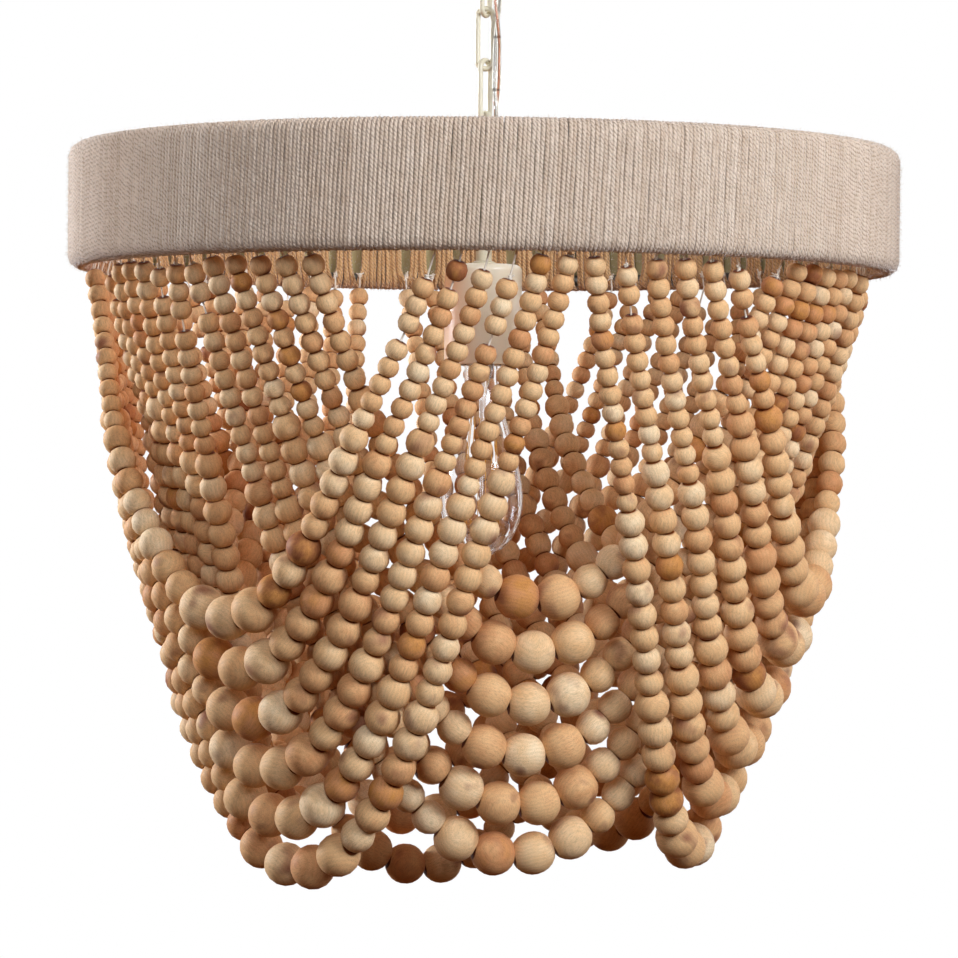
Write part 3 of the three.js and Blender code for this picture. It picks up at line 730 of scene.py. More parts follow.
def joined(shapes: Sequence[Shape]) -> Shape:
    """Joins shapes into one.

    Args:
        shapes: the shapes, in order.

    Returns:
        The vertices and the faces of all.
    """
    faces, count = [], 0
    for verts, own_faces in shapes:
        faces += [tuple(corner + count for corner in face) for face in own_faces]
        count += len(verts)
    return np.vstack([verts for verts, _ in shapes]), faces


def mesh_piece(name: str, verts: np.ndarray, faces: Iterable[Sequence[int]]) -> Piece:
    """Makes a smooth mesh object from worked-out vertices and faces.

    Args:
        name: the piece's name.
        verts: vertices in metres.
        faces: vertex numbers of each face.

    Returns:
        The new object.
    """
    mesh = bpy.data.meshes.new(name)
    mesh.from_pydata([tuple(vert) for vert in verts], [], list(faces))
    mesh.update()
    mesh.shade_smooth()
    return link(name, mesh)


def write(piece: Piece, name: str, values: np.ndarray, kind: str = "FLOAT") -> None:
    """Writes one attribute on a piece's vertices.

    Args:
        piece: the piece.
        name: the attribute's name.
        values: a value or a vector for each vertex.
        kind: "FLOAT" or "FLOAT_VECTOR".
    """
    attribute = piece.data.attributes.new(name, kind, "POINT")
    attribute.data.foreach_set("value" if kind == "FLOAT" else "vector", values.astype(np.float32).ravel())


def write_lay(piece: Piece, values: np.ndarray | None = None) -> None:
    """Writes the lay UV map that the twine's finish reads.

    Args:
        piece: the piece.
        values: the map, or None to keep a thin string or a fibre on the top of a ply.
    """
    flat = np.tile(TOP_OF_PLY, len(piece.data.loops)) if values is None else values.ravel()
    piece.data.uv_layers.new(name="lay").data.foreach_set("uv", flat)


def unit(rows: np.ndarray) -> np.ndarray:
    """Gives each row the length 1.

    Args:
        rows: one vector in each row.

    Returns:
        The vectors' directions.
    """
    return rows / np.linalg.norm(rows, axis=1)[:, None]


def wire_loop(name: str, length: float, width: float, wire: float, height: float, turn: float) -> Piece:
    """Models a chain link or a ring: a torus whose halves are pulled apart.

    Args:
        name: the piece's name.
        length: height of the loop over all, in millimetres.
        width: width over all, in millimetres.
        wire: the wire's diameter, in millimetres.
        height: height of the loop's middle, in metres.
        turn: turn of its plane from the X axis, in degrees.

    Returns:
        The loop.
    """
    bend = (width - wire) / 2
    straight = (length - wire) / 2 - bend
    piece = primitive(
        name, "torus", major_segments=40, minor_segments=16, major_radius=bend * MM, minor_radius=wire / 2 * MM,
        location=(0, 0, 0), rotation=(math.pi / 2, 0, 0),
    )
    settle(piece, 0)
    if straight > 0:
        bpy.ops.object.mode_set(mode="EDIT")
        for way in (1, -1):
            pick(piece, lambda place, way=way: way * place.z > 0.01 * MM)
            bpy.ops.transform.translate(value=(0, 0, way * straight * MM))
        bpy.ops.object.mode_set(mode="OBJECT")
    piece.rotation_euler = (0, 0, math.radians(turn))
    piece.location = (0, 0, height)
    return settle(piece, 80)


@dataclass
class CeilingFixing:
    """Crossbar, canopy, collar and hanging loop at the ceiling."""

    canopy_diameter: float = 127.0
    canopy_depth: float = 30.0
    skirt_height: float = 7.0
    crown_diameter: float = 46.0
    wall: float = 1.2
    shoulder_steps: int = 12
    rim_roll: float = 1.6
    groove: float = 0.6
    shank_diameter: float = 18.0
    shank_bore: float = 7.0
    shank_edge: float = 1.0
    ring_diameter: float = 27.0
    ring_wire: float = 5.0
    ring_sunk: float = 2.0
    body: str = "ceiling"

    def build(self) -> None:
        """Builds every piece at the ceiling."""
        self.canopy()
        self.collar()
        self.loop()
        self.dress_hidden()

    def canopy(self) -> None:
        """A spun steel cup: a skirt against the ceiling, a round shoulder and a flat crown."""
        rim, crown = self.canopy_diameter / 2, self.crown_diameter / 2
        hole = self.shank_diameter / 2 + SEAT_GAP
        skins = []
        for inset in (0.0, self.wall):
            skin: Profile = [(rim - inset, 0.0), (rim - inset, -self.skirt_height)]
            reach, fall = rim - crown - inset, self.canopy_depth - self.skirt_height - inset
            for step in range(1, self.shoulder_steps + 1):
                angle = step * math.pi / 2 / self.shoulder_steps
                skin.append((crown + reach * math.cos(angle), -self.skirt_height - fall * math.sin(angle)))
            skins.append([*skin, (hole, inset - self.canopy_depth)])
        profile = [(radius * MM, height * MM) for radius, height in skins[0] + skins[1][::-1]]
        painted(spun("canopy_cup", profile, 96), self.body, "canopy")

    def collar(self) -> None:
        """The threaded collar that holds the canopy up, with a rolled lower edge and a groove round it."""
        low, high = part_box("canopy_collar")
        outer, inner = high.x, (self.shank_diameter / 2 + SEAT_GAP) * MM
        roll, groove = self.rim_roll * MM, self.groove * MM
        middle = (low.z + high.z) / 2
        profile = [(inner, high.z), (inner, low.z), *round_points(outer - roll, low.z + roll, roll, -90, 0)]
        profile += [(outer, middle - groove), (outer - groove, middle), (outer, middle + groove), (outer, high.z)]
        painted(spun("canopy_collar_nut", profile), self.body, "canopy_collar")

    def loop(self) -> None:
        """The hanging loop: a ring under a hollow shank, which the lamp cord leaves beside the ring."""
        low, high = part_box("canopy_loop")
        ring_middle = low.z + self.ring_diameter / 2 * MM
        ring = wire_loop("canopy_ring", self.ring_diameter, self.ring_diameter, self.ring_wire, ring_middle, 0)
        painted(ring, self.body, "canopy_loop")
        bottom = ring_middle + (self.ring_diameter / 2 - self.ring_sunk) * MM
        outer, inner, edge = self.shank_diameter / 2 * MM, self.shank_bore / 2 * MM, self.shank_edge * MM
        profile = [(inner, high.z), (inner, bottom), *round_points(outer - edge, bottom + edge, edge, -90, 0)]
        painted(spun("canopy_shank", [*profile, (outer, high.z)]), self.body)

    def dress_hidden(self) -> None:
        """Gives the plain steel parts above the canopy their zinc finish."""
        for node in ("crossbar", "canopy_nipple", "canopy_locknut"):
            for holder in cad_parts[node].material_slots:
                holder.material = Finish.ZINC.material()


def link_middle(number: int) -> float:
    """Height of a chain link's middle.

    Args:
        number: which link, from the top.

    Returns:
        The height, in metres.
    """
    low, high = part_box(f"chain_link_{number}")
    return (low.z + high.z) / 2


@dataclass
class Chain:
    """Three painted links and their welds."""

    length: float = 48.4
    width: float = 15.4
    wire: float = 4.0
    turns: tuple[float, ...] = (60.0, 0.0, 52.0)
    weld_growth: float = 1.14

    def build(self) -> None:
        """Builds each link where its solid hangs."""
        for number, turn in enumerate(self.turns, start=1):
            node, middle = f"chain_link_{number}", link_middle(number)
            piece = wire_loop(f"{node}_wire", self.length, self.width, self.wire, middle, turn)
            self.weld(piece, middle, turn)
            painted(piece, f"link_{number}", node)

    def weld(self, piece: Piece, middle: float, turn: float) -> None:
        """Swells the wire a little where one side of the link is welded.

        Args:
            piece: the link.
            middle: height of the link's middle, in metres.
            turn: turn of the link's plane, in degrees.
        """
        side = Vector((math.cos(math.radians(turn)), math.sin(math.radians(turn)), 0))
        wire_middle = side * (self.width - self.wire) / 2 * MM + Vector((0, 0, middle))
        activate(piece, edit=True)
        pick(piece, lambda place: place.dot(side) > 0 and abs(place.z - middle) < 0.1 * MM)
        bpy.ops.transform.resize(value=(self.weld_growth,) * 3, center_override=wire_middle)
        bpy.ops.object.mode_set(mode="OBJECT")


@dataclass
class LampCord:
    """Clear twin flex beside the chain, in one length for each chain joint."""

    jacket_radius: float = 1.6
    core_radius: float = 0.62
    spread: float = 3.15
    bend_reach: float = 9.0
    bodies: tuple[str, ...] = ("ceiling", "link_1", "link_2", "link_3", "fixture")
    turns: tuple[tuple[float, float], ...] = (
        (-290, -250), (-171, -80), (-160, -40), (-148, 0), (-129, 15), (-103, 110), (-92, 180), (0, 420),
    )
    points: tuple[Point, ...] = (
        (0, 0, -1), (0, 0, -20), (0, 0, -36), (0, -1, -44), (1, -4.4, -50), (3, -6.8, -57), (5.6, -6.8, -66),
        (7.8, -5.6, -78), (8.7, -4.8, -96), (8.8, -4.7, -120), (8.6, -4.7, -144), (8.4, -4.9, -165),
        (8.2, -5, -184), (8.2, -5, -199), (7.8, -4.8, -206), (4.6, -2.9, -211.5), (0.9, -0.6, -217),
        (0, 0, -225), (0, 0, -250), (0, 0, -288),
    )
    samples: int = 260

    def build(self) -> None:
        """Builds the flex in four lengths, split at the middle of each link."""
        bodies, reach = self.bodies, self.bend_reach * MM
        cuts = [1.0, *(link_middle(number) for number in (1, 2, 3)), -1.0]
        route = self.route()
        for index in range(4):
            inside = np.flatnonzero((route[:, 2] <= cuts[index]) & (route[:, 2] >= cuts[index + 1]))
            first, last = max(inside[0] - 1, 0), min(inside[-1] + 1, len(route) - 1)
            for piece in self.twin(index + 1, route[first : last + 1]):
                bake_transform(piece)
                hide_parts("lamp_cord")
                LOG.info("%s bends between %s and %s", piece.name, bodies[index], bodies[index + 1])

    def route(self) -> np.ndarray:
        """Works out the flex's middle line.

        Returns:
            Points along the smooth route, in metres.
        """
        stops = np.array(self.points, float) * MM
        steps = np.linspace(0, len(stops) - 1, self.samples)
        padded = np.vstack([2 * stops[0] - stops[1], stops, 2 * stops[-1] - stops[-2]])
        whole = np.minimum(steps.astype(int), len(stops) - 2)
        t = (steps - whole)[:, None]
        a, b, c, d = (padded[whole + shift] for shift in range(4))
        return 0.5 * (2 * b + (c - a) * t + (2 * a - 5 * b + 4 * c - d) * t**2 + (3 * b - a - 3 * c + d) * t**3)

    def twin(self, number: int, part: np.ndarray) -> list[Piece]:
        """Builds one length: two clear jackets side by side, each round its stranded core.

        Args:
            number: which length, from the ceiling down.
            part: its middle line.

        Returns:
            The jacket piece and the two core pieces.
        """
        tangents = unit(np.gradient(part, axis=0))
        heights, degrees = zip(*self.turns)
        angle = np.radians(np.interp(part[:, 2] / MM, heights, degrees))
        flat = np.column_stack([np.cos(angle), -np.sin(angle), np.zeros(len(part))])
        flat = unit(flat - tangents * (flat * tangents).sum(1)[:, None])
        cores, jackets = [], []
        for way, finish, label in ((1, Finish.COPPER, "copper"), (-1, Finish.TINNED, "tinned")):
            line = part + flat * way * self.spread / 2 * MM
            jackets.append(tube_shape(line, self.jacket_radius * MM, 12))
            core = mesh_piece(f"flex_{label}_core_{number}", *tube_shape(line, self.core_radius * MM, 8))
            core.data.materials.append(finish.material())
            cores.append(core)
        jacket = mesh_piece(f"flex_jacket_{number}", *joined(jackets))
        jacket.data.materials.append(Finish.VINYL.material())
        return [jacket, *cores]


@dataclass
class Spider:
    """Ring, hub and arms that carry the band."""

    ring_diameter: float = 27.0
    ring_wire: float = 5.0
    ring_turn: float = -64.0
    hub_wall: float = 4.0
    hub_edge: float = 2.0
    stem_hole: float = 12.6
    arm_diameter: float = 8.0
    arm_edge: float = 0.6
    body: str = "fixture"

    def build(self) -> None:
        """Builds the ring on its stud, the hub and the three arms."""
        size = self.ring_diameter
        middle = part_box("fixture_loop")[1].z - size / 2 * MM
        ring = wire_loop("fixture_ring", size, size, self.ring_wire, middle, self.ring_turn)
        painted(ring, self.body, "fixture_loop")
        self.hub()
        for number in (1, 2, 3):
            self.arm(f"spider_arm_{number}")

    def hub(self) -> None:
        """The hub: a turned cup with rounded edges and a closed top."""
        low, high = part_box("hub")
        outer, edge, wall = high.x, self.hub_edge * MM, self.hub_wall * MM
        hole = self.stem_hole / 2 * MM
        profile = [(hole, low.z), *round_points(outer - edge, low.z + edge, edge, -90, 0)]
        profile += round_points(outer - edge, high.z - edge, edge, 0, 90)
        profile += [(0.0, high.z), (0.0, high.z - wall), (outer - wall, high.z - wall)]
        profile += [(outer - wall, low.z + wall), (hole, low.z + wall)]
        painted(spun("spider_hub", profile), self.body, "hub")

    def arm(self, node: str) -> None:
        """One round arm with softened ends.

        Args:
            node: the solid's name.
        """
        corners = np.array([tuple(vertex.co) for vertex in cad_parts[node].data.vertices])
        middle = corners.mean(0)
        out = Vector((middle[0], middle[1], 0)).normalized()
        reach = corners @ np.array(out)
        piece = primitive(
            f"{node}_rod", "cylinder", vertices=24, radius=self.arm_diameter / 2 * MM, depth=float(np.ptp(reach)),
            location=out * float(reach.mean()) + Vector((0, 0, float(middle[2]))),
            rotation=(0, math.pi / 2, math.atan2(out.y, out.x)),
        )
        bevel = piece.modifiers.new("softened", "BEVEL")
        bevel.width = self.arm_edge * MM
        bevel.segments = 2
        bpy.ops.object.modifier_apply(modifier=bevel.name)
        painted(settle(piece), self.body, node)


@dataclass(frozen=True)
class StrandGroup:
    """One group of strands. Turn and half spans are in degrees, sags and outward bow in millimetres."""

    name: str
    inner: bool
    turn: float
    spans: tuple[float, float]
    sags: tuple[float, float]
    bow: float
    dropped: float

    def hang(self, place: int) -> tuple[float, float]:
        """How one strand hangs.

        Args:
            place: which strand of the group, from the shortest.

        Returns:
            Its half span in degrees and its sag.
        """
        share = place / (STRANDS_PER_GROUP - 1)
        span, sag = (low + (high - low) * share for low, high in (self.spans, self.sags))
        return span, sag


class Bead(Enum):
    """The four sizes of bead: diameter and pitch in millimetres, facets round it and bands between its holes."""

    SMALL = (15.5, 13.0, 12, 7)
    MEDIUM = (20.5, 17.4, 14, 8)
    BIG = (25.0, 21.4, 16, 9)
    LARGE = (32.0, 29.0, 20, 12)

    @property
    def diameter(self) -> float:
        """Diameter across the widest part, in millimetres."""
        return self.value[0]

    @property
    def pitch(self) -> float:
        """Length that the bead takes on its string, in millimetres."""
        return self.value[1]

    @property
    def flat_height(self) -> float:
        """Height above the bead's middle from which a point counts as on its flat end, in millimetres."""
        return self.pitch * FLAT_SHARE

    def model(self) -> Shape:
        """Models the bead once: a ball cut flat at its two holes, with the hole's edge marked in each flat.

        Returns:
            The bead's vertices in millimetres, with the string along Z, and its faces.
        """
        diameter, pitch, facets, bands = self.value
        form = primitive("bead", "uv_sphere", segments=facets, ring_count=bands, radius=diameter / 2 * MM)
        flat = math.sqrt((diameter / 2) ** 2 - (pitch / 2) ** 2)
        bpy.ops.object.mode_set(mode="EDIT")
        for way in (1, -1):
            bpy.ops.mesh.select_all(action="SELECT")
            bpy.ops.mesh.bisect(
                plane_co=(0, 0, way * pitch / 2 * MM), plane_no=(0, 0, way), clear_outer=True, use_fill=True
            )
            bpy.ops.mesh.select_all(action="DESELECT")
            bpy.ops.object.mode_set(mode="OBJECT")
            for face in form.data.polygons:
                face.select = face.normal.z * way > 0.99 and face.center.z * way > self.flat_height * MM
            bpy.ops.object.mode_set(mode="EDIT")
            bpy.ops.mesh.select_mode(type="FACE")
            bpy.ops.mesh.inset(thickness=(flat - HOLE_RADIUS) * MM, depth=0)
            bpy.ops.mesh.select_mode(type="VERT")
        bpy.ops.object.mode_set(mode="OBJECT")
        verts = np.array([tuple(vertex.co) for vertex in form.data.vertices]) / MM
        faces = [tuple(face.vertices) for face in form.data.polygons]
        bpy.data.objects.remove(form)
        return verts, faces


Row = list[tuple[float, Bead, float]]


@dataclass
class BeadStrands:
    """Thirty-six strands in six groups. Each is one string with its beads and its knots."""

    band_bottom: float
    outer_hang: float = 287.0
    inner_hang: float = 281.0
    bow_rise_share: float = 0.265
    strand_lift: float = 1.0
    string_below_edge: float = 1.0
    small_run_share: float = 0.34
    medium_run_share: float = 0.31
    large_run_share: float = 0.12
    string_radius: float = 0.7
    bare_string: float = 3.5
    knotted_share: float = 0.35
    knot_height: float = 10.5
    knot_reach: float = 284.6
    knot_beyond: float = 1.0
    knot_size: Point = (1.1, 0.7, 1.3)
    knot_points: int = 19
    knot_string_radius: float = 0.75
    cut_ends: int = 3
    cut_end_length: tuple[float, float] = (2.6, 4.2)
    cut_end_radii: tuple[float, float] = (0.7, 0.45)
    cut_end_lean: float = 0.35
    girth_change: float = 0.035
    bead_lean: float = 0.035
    medium_count_change: float = 1.2
    least_bare_share: float = 0.06
    bare_room: tuple[float, float] = (0.25, 0.6)
    pale_tones: tuple[float, float] = (0.04, 0.66)
    odd_tones: tuple[float, float] = (0.7, 1.0)
    odd_share: float = 0.07
    cross_grain_share: float = 0.35
    cross_grain: tuple[float, float] = (0.8, 1.5)
    grain_lean: float = 0.15
    course_steps: int = 80
    body: str = "fixture"
    seed: int = 20
    groups: tuple[StrandGroup, ...] = (
        StrandGroup("front", True, 11.2, (36.1, 57.4), (236.0, 419.0), -26.9, 0.12),
        StrandGroup("right", False, 75.0, (37.9, 60.1), (235.0, 420.0), 14.9, 0.08),
        StrandGroup("right_rear", True, 134.3, (37.0, 58.4), (225.0, 419.0), -23.9, 0.15),
        StrandGroup("rear", False, 194.1, (35.2, 55.8), (269.0, 454.0), 15.4, 0.3),
        StrandGroup("left_rear", True, 255.5, (33.7, 54.9), (232.0, 401.0), -16.3, 0.3),
        StrandGroup("left", False, 313.6, (39.9, 58.0), (251.0, 429.0), 23.3, 0.5),
    )
    forms: dict[Bead, Shape] = field(default_factory=dict)

    def seats(self) -> list[float]:
        """Turns from the front, in degrees, at which strings are tied to the lower hoop."""
        spans = [(group.turn, group.hang(place)[0]) for group in self.groups for place in range(STRANDS_PER_GROUP)]
        return sorted((turn + way * span) % 360 for turn, span in spans for way in (-1, 1))

    def build(self) -> None:
        """Builds every strand."""
        self.forms = {kind: kind.model() for kind in Bead}
        for group_number, group in enumerate(self.groups):
            for place in range(STRANDS_PER_GROUP):
                self.strand(group, place, np.random.default_rng([self.seed, group_number, place]))

    @cached_property
    def loads(self) -> np.ndarray:
        """Share of a half strand's weight that hangs below each step along it, from the middle."""
        steps = (np.arange(self.course_steps) + 0.5) / self.course_steps
        kinds = (
            (Bead.LARGE, self.large_run_share),
            (Bead.BIG, 1 - self.small_run_share - self.medium_run_share),
            (Bead.MEDIUM, 1 - self.small_run_share),
            (Bead.SMALL, 1.01),
        )
        weights = np.zeros(self.course_steps)
        for kind, up_to in reversed(kinds):
            weights[steps < up_to] = kind.diameter**3 / kind.pitch
        return (np.cumsum(weights) - weights / 2) / weights.sum()

    def curve(self, half_span: float, sag: float) -> tuple[float, np.ndarray, np.ndarray]:
        """The curve in which a half strand hangs, steeper where more beads hang below.

        Args:
            half_span: level distance from the middle to the end.
            sag: fall from the end to the middle.

        Returns:
            The half strand's length, and the level distance and the rise at each step.
        """
        low, high = 0.0, self.course_steps * sag / half_span
        for _ in range(50):
            slopes = np.arctan((low + high) / 2 * self.loads)
            if np.sin(slopes).sum() / np.cos(slopes).sum() > sag / half_span:
                high = (low + high) / 2
            else:
                low = (low + high) / 2
        slopes = np.arctan(low * self.loads)
        half_length = self.course_steps * half_span / np.cos(slopes).sum()
        step = half_length / self.course_steps
        side, rise = (np.concatenate([[0.0], np.cumsum(part)]) * step for part in (np.cos(slopes), np.sin(slopes)))
        return half_length, side, rise

    def row(self, half_length: float, draws: Draws) -> Row:
        """The beads of a half strand, from the middle to the end.

        Args:
            half_length: length from the middle to the end.
            draws: the strand's own random numbers.

        Returns:
            How far along each bead sits, its kind and the pitch it has there.
        """
        usable = half_length - self.string_below_edge
        large = round(2 * usable * self.large_run_share / Bead.LARGE.pitch)
        change = draws.uniform(-self.medium_count_change, self.medium_count_change)
        medium = round(usable * self.medium_run_share / Bead.MEDIUM.pitch + change)
        big_run = usable * (1 - self.small_run_share - self.medium_run_share) - large * Bead.LARGE.pitch / 2
        big = round(big_run / Bead.BIG.pitch)
        reach = -Bead.LARGE.pitch / 2 if large % 2 else 0.0
        beads = []
        for kind, count in ((Bead.LARGE, math.ceil(large / 2)), (Bead.BIG, big), (Bead.MEDIUM, medium)):
            for _ in range(count):
                beads.append((reach + kind.pitch / 2, kind, kind.pitch))
                reach += kind.pitch
        usable -= draws.uniform(0, self.bare_string)
        small = round((usable - reach) / Bead.SMALL.pitch)
        pitch = (usable - reach) / small
        for _ in range(small):
            beads.append((reach + pitch / 2, Bead.SMALL, pitch))
            reach += pitch
        return beads

    def beads(self, half_length: float, dropped: float, draws: Draws) -> Row:
        """The beads of a whole strand, with a few bare stretches of string near its ends.

        Args:
            half_length: length from the middle to the end.
            dropped: share of the ends whose top bead is left off.
            draws: the strand's own random numbers.

        Returns:
            Signed length of each bead from the middle, its kind and how much its length is squeezed.
        """
        placed = []
        for way in (-1, 1):
            beads = [bead for bead in self.row(half_length, draws) if way > 0 or bead[0] > 0]
            if draws.random() < dropped:
                beads = beads[:-1]
            if draws.random() < dropped / 2 + self.least_bare_share:
                skipped = len(beads) - 1 - int(draws.integers(1, 4))
                room = beads[skipped][2] * float(draws.uniform(*self.bare_room))
                moved = [(length - room, kind, pitch) for length, kind, pitch in beads[skipped + 1 :]]
                beads = beads[:skipped] + moved
            placed += [(way * length, kind, pitch / kind.pitch) for length, kind, pitch in beads]
        return placed

    def strand(self, group: StrandGroup, place: int, draws: Draws) -> None:
        """Builds one strand: every bead on its course, the string through them and its knots.

        Args:
            group: the strand's group.
            place: which strand of the group, from the shortest.
            draws: the strand's own random numbers.
        """
        hang = self.inner_hang if group.inner else self.outer_hang
        degrees, sag = group.hang(place)
        turn, span = math.radians(group.turn), math.radians(degrees)
        half_length, side, rise = self.curve(hang * math.sin(span), sag)
        steps = np.linspace(0, half_length, len(side))
        outward = np.array([math.sin(turn), -math.cos(turn), 0.0])
        sideways = np.array([math.cos(turn), math.sin(turn), 0.0])

        def at(length: float | np.ndarray) -> np.ndarray:
            """Points of the course at signed lengths from its middle."""
            length = np.atleast_1d(length)
            reach = np.abs(length)
            from_end = np.clip((half_length - reach) / (2 * half_length * self.bow_rise_share), 0, 1)
            bow = group.bow * from_end**2 * (3 - 2 * from_end)
            points = outward * (hang * math.cos(span) + bow)[:, None]
            points = points + sideways * (np.sign(length) * np.interp(reach, steps, side))[:, None]
            points[:, 2] = self.band_bottom + self.strand_lift - sag + np.interp(reach, steps, rise)
            return points

        shapes, tones, seams, places, locals_ = [], [], [], [], []
        placed = self.beads(half_length, group.dropped, draws)
        for length, kind, squeeze in placed:
            form, form_faces = self.forms[kind]
            lean = self.frame_of(unit(at(length + 1.0) - at(length - 1.0))[0], draws)
            girth = 1 + draws.uniform(-self.girth_change, self.girth_change)
            local = form * [girth, girth, squeeze]
            shapes.append((local @ lean.T + at(length)[0], form_faces))
            tones.append(np.full(len(form), self.tone(draws)))
            # Marks the flat-end vertices that get the painted contact shade.
            seams.append(np.abs(form[:, 2]) > kind.flat_height)
            grain = self.grain_turn(draws)
            places.append(local @ grain.T + draws.uniform(0, 1000, 3))
            locals_.append(local)
        wood_faces = sum(len(form_faces) for _, form_faces in shapes)
        string = self.string_shapes(at, half_length, hang, (turn - span, turn + span), draws)
        lengths = [length for length, _, _ in placed]
        for top in (min(lengths), max(lengths)):
            over = math.copysign(abs(top) + Bead.SMALL.pitch / 2 + self.knot_beyond, top)
            knot = self.knot_shapes(at(over)[0], outward, draws)
            string += knot if draws.random() < self.knotted_share else []
        extra = sum(len(verts) for verts, _ in string)
        # The string and knots get a place far from every bead's hole, so no painted hole or contact shade falls on
        # them.
        beside_hole = np.full((extra, 3), 9.0)
        verts, faces = joined(shapes + string)
        name = f"{group.name}_strand_{place + 1}"
        piece = mesh_piece(f"{name}_beads", verts * MM, faces)
        write(piece, "bead_tone", np.concatenate([*tones, np.zeros(extra)]))
        write(piece, "bead_seam_shade", np.concatenate([*seams, np.zeros(extra)]))
        write(piece, "bead_place", np.vstack([*places, beside_hole]), "FLOAT_VECTOR")
        write(piece, "bead_local", np.vstack([*locals_, beside_hole]), "FLOAT_VECTOR")
        carry(piece, self.body, Finish.WOOD, "pale_wood" if place % 2 == 0 else "rosy_wood", name)
        piece.data.materials.append(Finish.STRING.material())
        write_lay(piece)
        marks = np.zeros(len(faces), np.int32)
        marks[wood_faces:] = 1
        piece.data.polygons.foreach_set("material_index", marks)

    def tone(self, draws: Draws) -> float:
        """Draws one bead's tone: mostly pale to tan, with a rosy, an orange or a brown one now and then."""
        palest, reach = self.pale_tones
        pale = palest + draws.beta(2.3, 2.3) * reach
        return float(draws.uniform(*self.odd_tones)) if draws.random() < self.odd_share else float(pale)

    def frame_of(self, tangent: np.ndarray, draws: Draws) -> np.ndarray:
        """Axes of a bead on its string, turned at random and leaning a little.

        Args:
            tangent: the string's direction.
            draws: the strand's own random numbers.

        Returns:
            A matrix whose columns are the bead's axes.
        """
        axis = tangent + draws.normal(0, self.bead_lean, 3)
        axis /= np.linalg.norm(axis)
        angle = draws.uniform(0, 2 * math.pi)
        across = np.cross(axis, [math.cos(angle), math.sin(angle), 0.37])
        across /= np.linalg.norm(across)
        return np.column_stack([across, np.cross(axis, across), axis])

    def grain_turn(self, draws: Draws) -> np.ndarray:
        """Turns a bead's grain: along the hole in most beads, and across it in some."""
        crossed = draws.random() < self.cross_grain_share
        lean = draws.uniform(*self.cross_grain) if crossed else draws.normal(0, self.grain_lean)
        return np.array(Matrix.Rotation(lean, 3, "X") @ Matrix.Rotation(draws.uniform(0, 6), 3, "Z"))

    def string_shapes(
        self, at: Callable[[np.ndarray], np.ndarray], half_length: float, hang: float,
        azimuths: tuple[float, float], draws: Draws,
    ) -> list[Shape]:
        """The string and its two star-shaped knots against the band's inside.

        Args:
            at: the strand's course.
            half_length: length from the middle to the end.
            hang: radius at which the strand leaves the band.
            azimuths: turns of its two ends from the front, in radians.
            draws: the strand's own random numbers.

        Returns:
            Vertices and faces of each shape, in millimetres.
        """
        ends, shapes = [], []
        for azimuth in azimuths:
            outward = np.array([math.sin(azimuth), -math.cos(azimuth), 0.0])
            knot = outward * min(hang, self.knot_reach)
            knot[2] = self.band_bottom + self.knot_height
            ends.append(knot)
            shapes += self.knot_shapes(knot, outward, draws)
        middle = np.vstack([ends[0], at(np.linspace(-half_length, half_length, self.course_steps + 1)), ends[1]])
        return [*shapes, tube_shape(middle, self.string_radius, 5)]

    def knot_shapes(self, knot: np.ndarray, outward: np.ndarray, draws: Draws) -> list[Shape]:
        """A knot of cotton string: a coiled lump and three short cut ends.

        Args:
            knot: its middle.
            outward: direction away from the lamp's axis.
            draws: the strand's own random numbers.

        Returns:
            Vertices and faces of each shape.
        """
        up = np.array([0.0, 0.0, 1.0])
        level = np.cross(outward, up)
        width, depth, half_height = self.knot_size
        angles = np.linspace(0, 4 * math.pi, self.knot_points)
        coil = knot + level * (width * np.cos(angles))[:, None]
        coil = coil - outward[None, :] * (depth * np.sin(angles))[:, None]
        coil[:, 2] += np.linspace(-half_height, half_height, self.knot_points)
        shapes = [tube_shape(coil, self.knot_string_radius, 6)]
        for _ in range(self.cut_ends):
            angle = draws.uniform(0, 2 * math.pi)
            way = level * math.cos(angle) + up * math.sin(angle) - outward * self.cut_end_lean
            steps = np.linspace(0, draws.uniform(*self.cut_end_length), 5)[:, None]
            shapes.append(tube_shape(knot + way * steps, np.linspace(*self.cut_end_radii, 5), 6))
        return shapes


